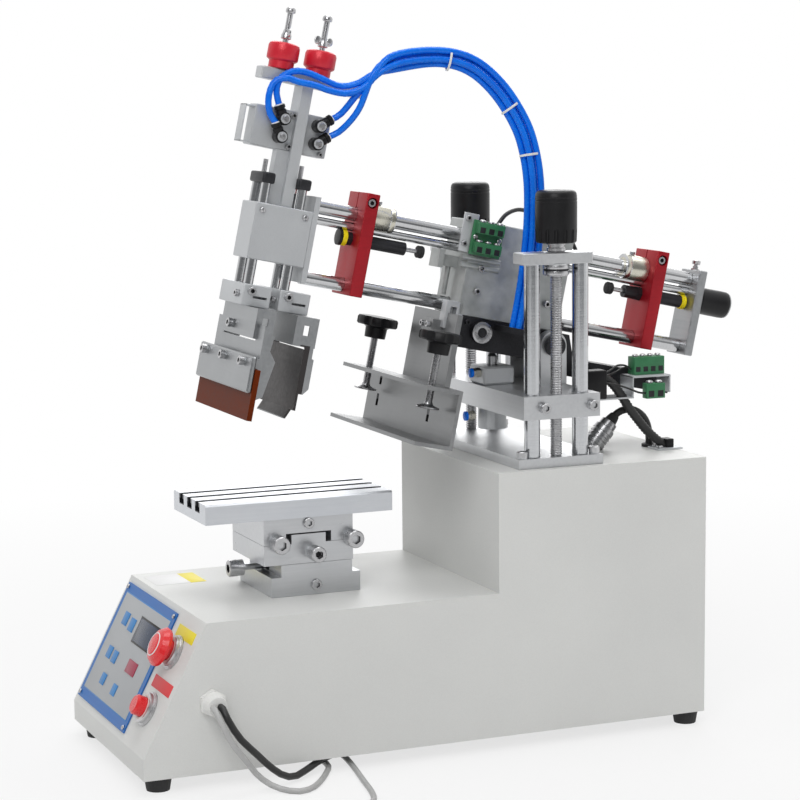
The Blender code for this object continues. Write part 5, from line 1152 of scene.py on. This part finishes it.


# green screw terminals: a block with a wire mouth, drawn as a dark block of painted shade, and a screw for each
# pole
terminal = {
    "bevel": 0.0005, "mouthHeight": 0.32, "mouthHalf": 0.3, "mouthIn": 0.0006, "mouthOut": 0.0003,
    "screwSink": 0.0003, "screwShare": 0.36,
}


def makeTerminal(low, high, poles):
    low, high = Vector(low), Vector(high)
    parts = [wear(block(low, high, terminal["bevel"]), "boardGreen")]
    pitch = (high.y - low.y) / poles
    half = pitch * terminal["mouthHalf"]
    for pole in range(poles):
        middle = low.y + pitch * (pole + 0.5)
        mouth = Vector((high.x, middle, low.z + (high.z - low.z) * terminal["mouthHeight"]))
        # a dark block at each wire mouth: painted shade standing in for the hole
        parts.append(wear(block(mouth - Vector((terminal["mouthIn"], half, half)),
                                mouth + Vector((terminal["mouthOut"], half, half)), 0.0002, 1), "paintedHoleShade"))
        parts.append(copyAt("button", ((low.x + high.x) / 2, middle, high.z - terminal["screwSink"]), alongZ,
                            pitch * terminal["screwShare"]))
    return parts


# sensor board on the near face of the head, with its wires and cable
sensorBoard = {
    "board": ((0.0325, -0.1045, 0.0545), (0.0341, -0.0690, 0.0905)),
    "terminals": (((0.0341, -0.1020, 0.0570), (0.0430, -0.0720, 0.0680), 3), ((0.0341, -0.1020, 0.0770),
        (0.0430, -0.0720, 0.0885), 3)),
    "posts": ((0.0298, -0.1005, 0.0730), (0.0298, -0.0730, 0.0730)),
    "post": ((0, 0.0020), (0.0046, 0.0020), (0.0050, 0.0026), (0.0060, 0.0026), (0.0066, 0.0018)),
    "bracket": ((0.0290, -0.1150, 0.0560), (0.0318, -0.0985, 0.0960)),
    "bracketScrews": ((0.0316, -0.1110, 0.0905), (0.0316, -0.1110, 0.0640)),
    "screw": 0.0030,
    "cable": ((0.0330, -0.0770, 0.0895), (0.0320, -0.0700, 0.1010), (0.0275, -0.0580, 0.1080),
        (0.0230, -0.0450, 0.1100), (0.0180, -0.0210, 0.1085), (0.0155, 0.0030, 0.1010),
        (0.0165, 0.0200, 0.0870), (0.0200, 0.0320, 0.0660), (0.0240, 0.0390, 0.0410),
        (0.0255, 0.0410, 0.0160), (0.0255, 0.0412, -0.0100)),
    "cableRadius": 0.0022,
}


def makeSensorBoard():
    parts = [wear(block(*sensorBoard["board"], 0.0003), "boardGreen")]
    for values in sensorBoard["terminals"]:
        parts += makeTerminal(*values)
    parts += [lathe(spot, alongX, sensorBoard["post"], 12, "bareSteel") for spot in sensorBoard["posts"]]
    settle(together(parts), "sensorBoard", "head", "head")
    parts = [wear(block(*sensorBoard["bracket"], 0.0004), "blastedPlate")]
    parts += [copyAt("socket", spot, alongX, sensorBoard["screw"]) for spot in sensorBoard["bracketScrews"]]
    settle(together(parts), "sensorBracket", "head", "head")
    layWire("headCable", "head", sensorBoard["cable"], sensorBoard["cableRadius"], "head")


# small fittings on the beam and the frame hanger
headTrim = {
    "discAt": (0.0358, -0.0740, -0.0230), "disc": (0.0052, 0.0112, 0.0026),
    "hubAt": (0.0355, -0.0740, -0.0230), "hub": ((0, 0.0056), (0.0012, 0.0056)),
    "beamScrews": ((0.0302, -0.0900, -0.0148), (0.0302, -0.0480, -0.0148)),
    "beamScrew": 0.0030,
    "headScrews": ((0.0301, -0.0860, 0.0180), (0.0301, -0.0860, 0.0420), (0.0301, -0.0040, 0.0180),
        (0.0301, -0.0040, 0.0760)),
    "headScrew": 0.0036,
    "block": ((0.0170, -0.1160, -0.0250), (0.0300, -0.0960, 0.0040)),
    "blockBevel": 0.0008,
    "slot": ((0.0220, -0.1110, -0.0180), (0.0320, -0.1040, -0.0020)),
    "hangerScrews": ((0.0030, -0.1252, -0.0240), (0.0170, -0.1252, -0.0240)),
    "hangerScrew": 0.0032,
}


def makeHeadTrim():
    # the dark hub in the disc's bore stands for the hex recess: painted shade
    parts = [wear(ring(headTrim["discAt"], alongX, *headTrim["disc"]), "bareSteel"),
             lathe(headTrim["hubAt"], alongX, headTrim["hub"], 24, "paintedHoleShade")]
    parts += [copyAt("socket", spot, alongX, headTrim["beamScrew"], "blackOxide")
              for spot in headTrim["beamScrews"]]
    parts += [copyAt("socket", spot, alongX, headTrim["headScrew"]) for spot in headTrim["headScrews"]]
    settle(together(parts), "beamTrim", "head", "head")
    slotted = cutAway(block(*headTrim["block"], headTrim["blockBevel"]), [block(*headTrim["slot"], 0.0002, 1)])
    settle(wear(slotted, "blastedPlate"), "slottedBlock", "head", "head")
    fitScrews("hangerScrews", "head", "head",
              [("socket", spot, (0, -1, 0), headTrim["hangerScrew"]) for spot in headTrim["hangerScrews"]])


makeSensorBoard()
makeHeadTrim()

# bent strip in front of the port block, and the screws on the block and the upright
portStrip = {
    "reach": (-0.3600, -0.3497), "height": (0.1225, 0.1600), "sides": (-0.0130, 0.0030), "thick": 0.0014,
    "lap": 0.0004,
    "screws": (("socket", (0.0051, -0.3090, 0.1260), alongX, 0.0030), ("socket", (0.0051, -0.3090, 0.1575),
        alongX, 0.0030), ("socket", (0.0051, -0.2740, 0.1245), alongX, 0.0024), ("socket",
        (0.0051, -0.2740, 0.1590), alongX, 0.0024), ("button", (0.0215, -0.3292, 0.0590), alongX, 0.0030),
        ("button", (0.0215, -0.2832, 0.0590), alongX, 0.0030)),
}


def makePortStrip():
    front, back = portStrip["reach"]
    low, high = portStrip["height"]
    left, right = portStrip["sides"]
    thick, back = portStrip["thick"], back + portStrip["lap"]
    parts = [wear(block(*corners, 0.0003), "blastedPlate")
             for corners in (((left, front, low), (right, front + thick, high)),
                             ((left, front, low), (right, back, low + thick)),
                             ((left, front, high - thick), (right, back, high)))]
    settle(together(parts), "portStrip", "stroke", "head")
    fitScrews("portScrews", "stroke", "head", portStrip["screws"])


makePortStrip()


# pale ties round the hose bundle
hoseTies = {
    "stations": ((1, 0.35), (3, 0.55), (5, 0.05)), "inner": 0.0106, "outer": 0.0114, "wide": 0.0024,
    "flat": 0.66,
}


def makeTies():
    for index, (station, share) in enumerate(hoseTies["stations"]):
        first, second = Vector(hoseMiddle[station]), Vector(hoseMiddle[station + 1])
        at = first.lerp(second, share)
        made = ring(at, (second - first).normalized(), hoseTies["inner"], hoseTies["outer"], hoseTies["wide"])
        stretch(wear(made, "nylonWhite"), (hoseTies["flat"], 1, 1), at)
        ground(made, "hoseTie" + str(index + 1), "head")
        bridgeHead(made)


makeTies()
print("head fittings made")

# electrics behind the lift: bent bracket, terminals, thin wires and conduit
rearShelf = {
    "plates": (((0.0340, 0.1384, 0.3420), (0.0620, 0.1404, 0.3600)), ((0.0340, 0.1384, 0.3440),
        (0.0620, 0.2080, 0.3456)), ((0.0340, 0.2064, 0.3440), (0.0620, 0.2080, 0.3670)),
        ((0.0340, 0.2064, 0.3654), (0.0620, 0.2520, 0.3670)), ((0.0340, 0.2504, 0.3480),
        (0.0620, 0.2520, 0.3670))),
    "terminals": (((0.0370, 0.2140, 0.3670), (0.0520, 0.2500, 0.3860), 4), ((0.0620, 0.2180, 0.3440),
        (0.0720, 0.2400, 0.3600), 2)),
    "joint": ((0.0470, 0.1480, 0.3454), (0.0630, 0.1760, 0.3760)),
    "jointBevel": 0.0020,
    "screws": (("socket", (0.0410, 0.1402, 0.3530), alongY, 0.0030), ("socket", (0.0560, 0.1402, 0.3530),
        alongY, 0.0030), ("button", (0.0480, 0.2522, 0.3570), alongY, 0.0030)),
    "conduit": ((0.0560, 0.2500, 0.2905), (0.0558, 0.2450, 0.2930), (0.0556, 0.2386, 0.2975),
        (0.0552, 0.2270, 0.3080), (0.0550, 0.2166, 0.3200), (0.0550, 0.2060, 0.3330),
        (0.0550, 0.1959, 0.3480), (0.0550, 0.1860, 0.3600), (0.0550, 0.1755, 0.3680)),
    "conduitRadius": 0.0052, "conduitStep": 0.0020, "conduitRidge": 0.86,
    "foot": ((0.0450, 0.2340, 0.2870), (0.0680, 0.2640, 0.2890)),
    "clip": ((0.0490, 0.2470, 0.2888), (0.0630, 0.2560, 0.2980)),
    "clipBevel": 0.0008,
    "footScrews": (("button", (0.0500, 0.2400, 0.2890), alongZ, 0.0030), ("button",
        (0.0620, 0.2400, 0.2890), alongZ, 0.0030)),
    "wires": (((0.0380, 0.2140, 0.3730), (0.0380, 0.2080, 0.3740), (0.0400, 0.1980, 0.3700),
        (0.0450, 0.1860, 0.3680), (0.0520, 0.1758, 0.3700)), ((0.0690, 0.2180, 0.3500),
        (0.0690, 0.2100, 0.3510), (0.0670, 0.1980, 0.3560), (0.0640, 0.1860, 0.3600),
        (0.0600, 0.1758, 0.3620)), ((0.0440, 0.2140, 0.3725), (0.0445, 0.2070, 0.3770),
        (0.0470, 0.1960, 0.3780), (0.0520, 0.1850, 0.3740), (0.0560, 0.1758, 0.3720))),
    "wireRadius": 0.0011,
}


def makeRearShelf():
    parts = [wear(block(*plate, 0.0004), "blastedPlate") for plate in rearShelf["plates"]]
    for values in rearShelf["terminals"]:
        parts += makeTerminal(*values)
    parts.append(wear(block(*rearShelf["joint"], rearShelf["jointBevel"], 3), "blackPlastic"))
    parts += [copyAt(*values) for values in rearShelf["screws"]]
    settle(together(parts), "rearShelf", "lift")
    layWire("rearConduit", "floor", rearShelf["conduit"], rearShelf["conduitRadius"], "base",
            rearShelf["conduitStep"], rearShelf["conduitRidge"], "lift")
    for index, points in enumerate(rearShelf["wires"]):
        layWire("shelfWire" + str(index + 1), "floor", points, rearShelf["wireRadius"], "lift")
    foot = [wear(block(*rearShelf["foot"], 0.0004), "blastedPlate"),
            wear(block(*rearShelf["clip"], rearShelf["clipBevel"]), "blackPlastic")]
    foot += [copyAt(*values) for values in rearShelf["footScrews"]]
    settle(together(foot), "conduitFoot", "base")


# ribbed round connector standing on the tall top, its lead going back down through a grommet
ribPlug = {
    "at": (0.0300, 0.1712, 0.2878), "along": (0, 0.67, 0.742),
    "shell": ((0, 0.0105), (0.0040, 0.0118), (0.0055, 0.0118), (0.0060, 0.0108), (0.0075, 0.0108),
        (0.0080, 0.0118), (0.0120, 0.0118), (0.0125, 0.0106), (0.0140, 0.0106), (0.0145, 0.0116),
        (0.0165, 0.0116), (0.0170, 0.0106), (0.0185, 0.0106), (0.0190, 0.0116), (0.0210, 0.0116),
        (0.0215, 0.0106), (0.0230, 0.0106), (0.0235, 0.0116), (0.0290, 0.0112), (0.0300, 0.0096),
        (0.0370, 0.0090), (0.0375, 0.0078)),
    "boot": ((0.0365, 0.0070), (0.0420, 0.0062), (0.0465, 0.0050)),
    "nutAt": (0.0300, 0.1690, 0.2866), "nut": ((0, 0.0150), (0.0030, 0.0150), (0.0044, 0.0130)),
    "grommetAt": (0.0352, 0.2412, 0.2866), "grommet": (0.0042, 0.0082, 0.0034),
    "lead": ((0.0300, 0.2023, 0.3222), (0.0318, 0.2068, 0.3262), (0.0335, 0.2140, 0.3283),
        (0.0345, 0.2230, 0.3272), (0.0350, 0.2325, 0.3210), (0.0352, 0.2385, 0.3115),
        (0.0352, 0.2408, 0.3005), (0.0352, 0.2412, 0.2866)),
    "leadRadius": 0.0040,
}


def makeRibPlug():
    parts = [lathe(ribPlug["at"], ribPlug["along"], ribPlug["shell"], 36, "bareSteel"),
             lathe(ribPlug["at"], ribPlug["along"], ribPlug["boot"], 24, "blackRubber"),
             lathe(ribPlug["nutAt"], alongZ, ribPlug["nut"], 6, "bareSteel"),
             wear(ring(ribPlug["grommetAt"], alongZ, *ribPlug["grommet"]), "blackRubber")]
    settle(together(parts), "ribbedPlug", "base")
    layWire("plugLead", "floor", ribPlug["lead"], ribPlug["leadRadius"], "base")


# push-in air fittings on the tilt cylinder
airFitting = {
    "spots": ((-0.0060, 0.0537, 0.3270), (0.0080, 0.0537, 0.3745)),
    "body": ((0, 0.0052), (0.0050, 0.0052), (0.0054, 0.0046), (0.0080, 0.0046)),
    "collar": ((0.0080, 0.0040), (0.0084, 0.0050), (0.0110, 0.0050), (0.0116, 0.0036)),
}


def makeAirFittings():
    parts = []
    for spot in airFitting["spots"]:
        parts += [lathe(spot, (0, -1, 0), airFitting["body"], 6, "nickel"),
                  lathe(spot, (0, -1, 0), airFitting["collar"], 24, "hoseBlue")]
    settle(together(parts), "cylinderFittings", "lift")


makeRearShelf()
makeRibPlug()
makeAirFittings()
print("rear electrics made")

# the screws that the copies came from go
for master in masters.values():
    bpy.data.objects.remove(master)

# plain floor and soft lamps
studio = {
    "floorSize": 8, "floorCuts": 8, "floorTone": (0.80, 0.80, 0.80), "floorRough": 0.9, "floorGloss": 0.1,
    "nearWhite": 0.72, "fadeFrom": 0.45, "fadeTo": 1.5, "lampAim": (0, 0, 0.3),
    "lamps": (("keyLamp", (2.4, -1.6, 2.6), 1.8, 52), ("fillLamp", (0.6, -3.0, 1.4), 2.2, 1), ("topLamp",
        (-0.2, 0.3, 3.0), 2.2, 38), ("backLamp", (-2.6, 1.4, 1.8), 1.8, 22)),
    "worldStrength": 0.34, "roomSide": (0.85, -0.5, 0.0), "roomTone": (0.20, 0.205, 0.21), "roomFrom": 0.05,
    "roomTo": 0.55,
}


# white background: only rays that look at the floor directly, or in metal and glass, see the white
def backdropRays(tree):
    rays = tree.nodes.new("ShaderNodeLightPath")
    seen = Wire(tree, rays.outputs["Is Camera Ray"]) + Wire(tree, rays.outputs["Is Glossy Ray"])
    return seen + Wire(tree, rays.outputs["Is Transmission Ray"])


def makeFloor():
    startPiece()
    bpy.ops.mesh.primitive_grid_add(size=studio["floorSize"], x_subdivisions=studio["floorCuts"],
                                    y_subdivisions=studio["floorCuts"], location=(0, 0, 0))
    floor = bpy.context.object
    floor.name = "floor"
    made, shader, place = startMaterial("paleFloor")
    tree = made.node_tree
    shader.inputs["Base Color"].default_value = (*studio["floorTone"], 1)
    shader.inputs["Roughness"].default_value = studio["floorRough"]
    shader.inputs["Specular IOR Level"].default_value = studio["floorGloss"]
    reach = place.node("ShaderNodeVectorMath", {"operation": "LENGTH"}, {0: place}, "Value")
    white = reach.spread(studio["fadeFrom"], studio["fadeTo"], studio["nearWhite"], 1) * backdropRays(tree)
    glow = tree.nodes.new("ShaderNodeEmission")
    blend = white.node("ShaderNodeMixShader", {}, {0: white, 1: Wire(tree, shader.outputs[0]),
                                                   2: Wire(tree, glow.outputs[0])})
    blend.feed(tree.nodes["Material Output"].inputs["Surface"])
    floor.data.materials.append(made)


def makeLamps():
    for name, place, size, power in studio["lamps"]:
        lamp = bpy.data.lights.new(name, "AREA")
        lamp.energy = power
        lamp.size = size
        made = bpy.data.objects.new(name, lamp)
        bpy.context.scene.collection.objects.link(made)
        made.location = place
        made.rotation_euler = (Vector(studio["lampAim"]) - Vector(place)).to_track_quat("-Z", "Y").to_euler()


# the room is white all round, and darker in metal on the side where nothing stands behind the object
def makeWorld():
    world = bpy.data.worlds.new("studioWorld")
    bpy.context.scene.world = world
    world.use_nodes = True
    tree = world.node_tree
    background = tree.nodes["Background"]
    rays = tree.nodes.new("ShaderNodeLightPath")
    glossy = Wire(tree, rays.outputs["Is Glossy Ray"])
    heading = glossy.node("ShaderNodeTexCoord", {}, {}, "Generated")
    side = heading.node("ShaderNodeVectorMath", {"operation": "DOT_PRODUCT"},
                        {0: heading, 1: studio["roomSide"]}, "Value")
    shade = side.spread(studio["roomFrom"], studio["roomTo"], 0, 1) * glossy
    shade.between((1, 1, 1), studio["roomTone"]).feed(background.inputs["Color"])
    backdropRays(tree).spread(0, 1, studio["worldStrength"], 1).feed(background.inputs["Strength"])


makeFloor()
makeLamps()
makeWorld()
bpy.context.scene.view_settings.view_transform = "Standard"
print("studio lit")
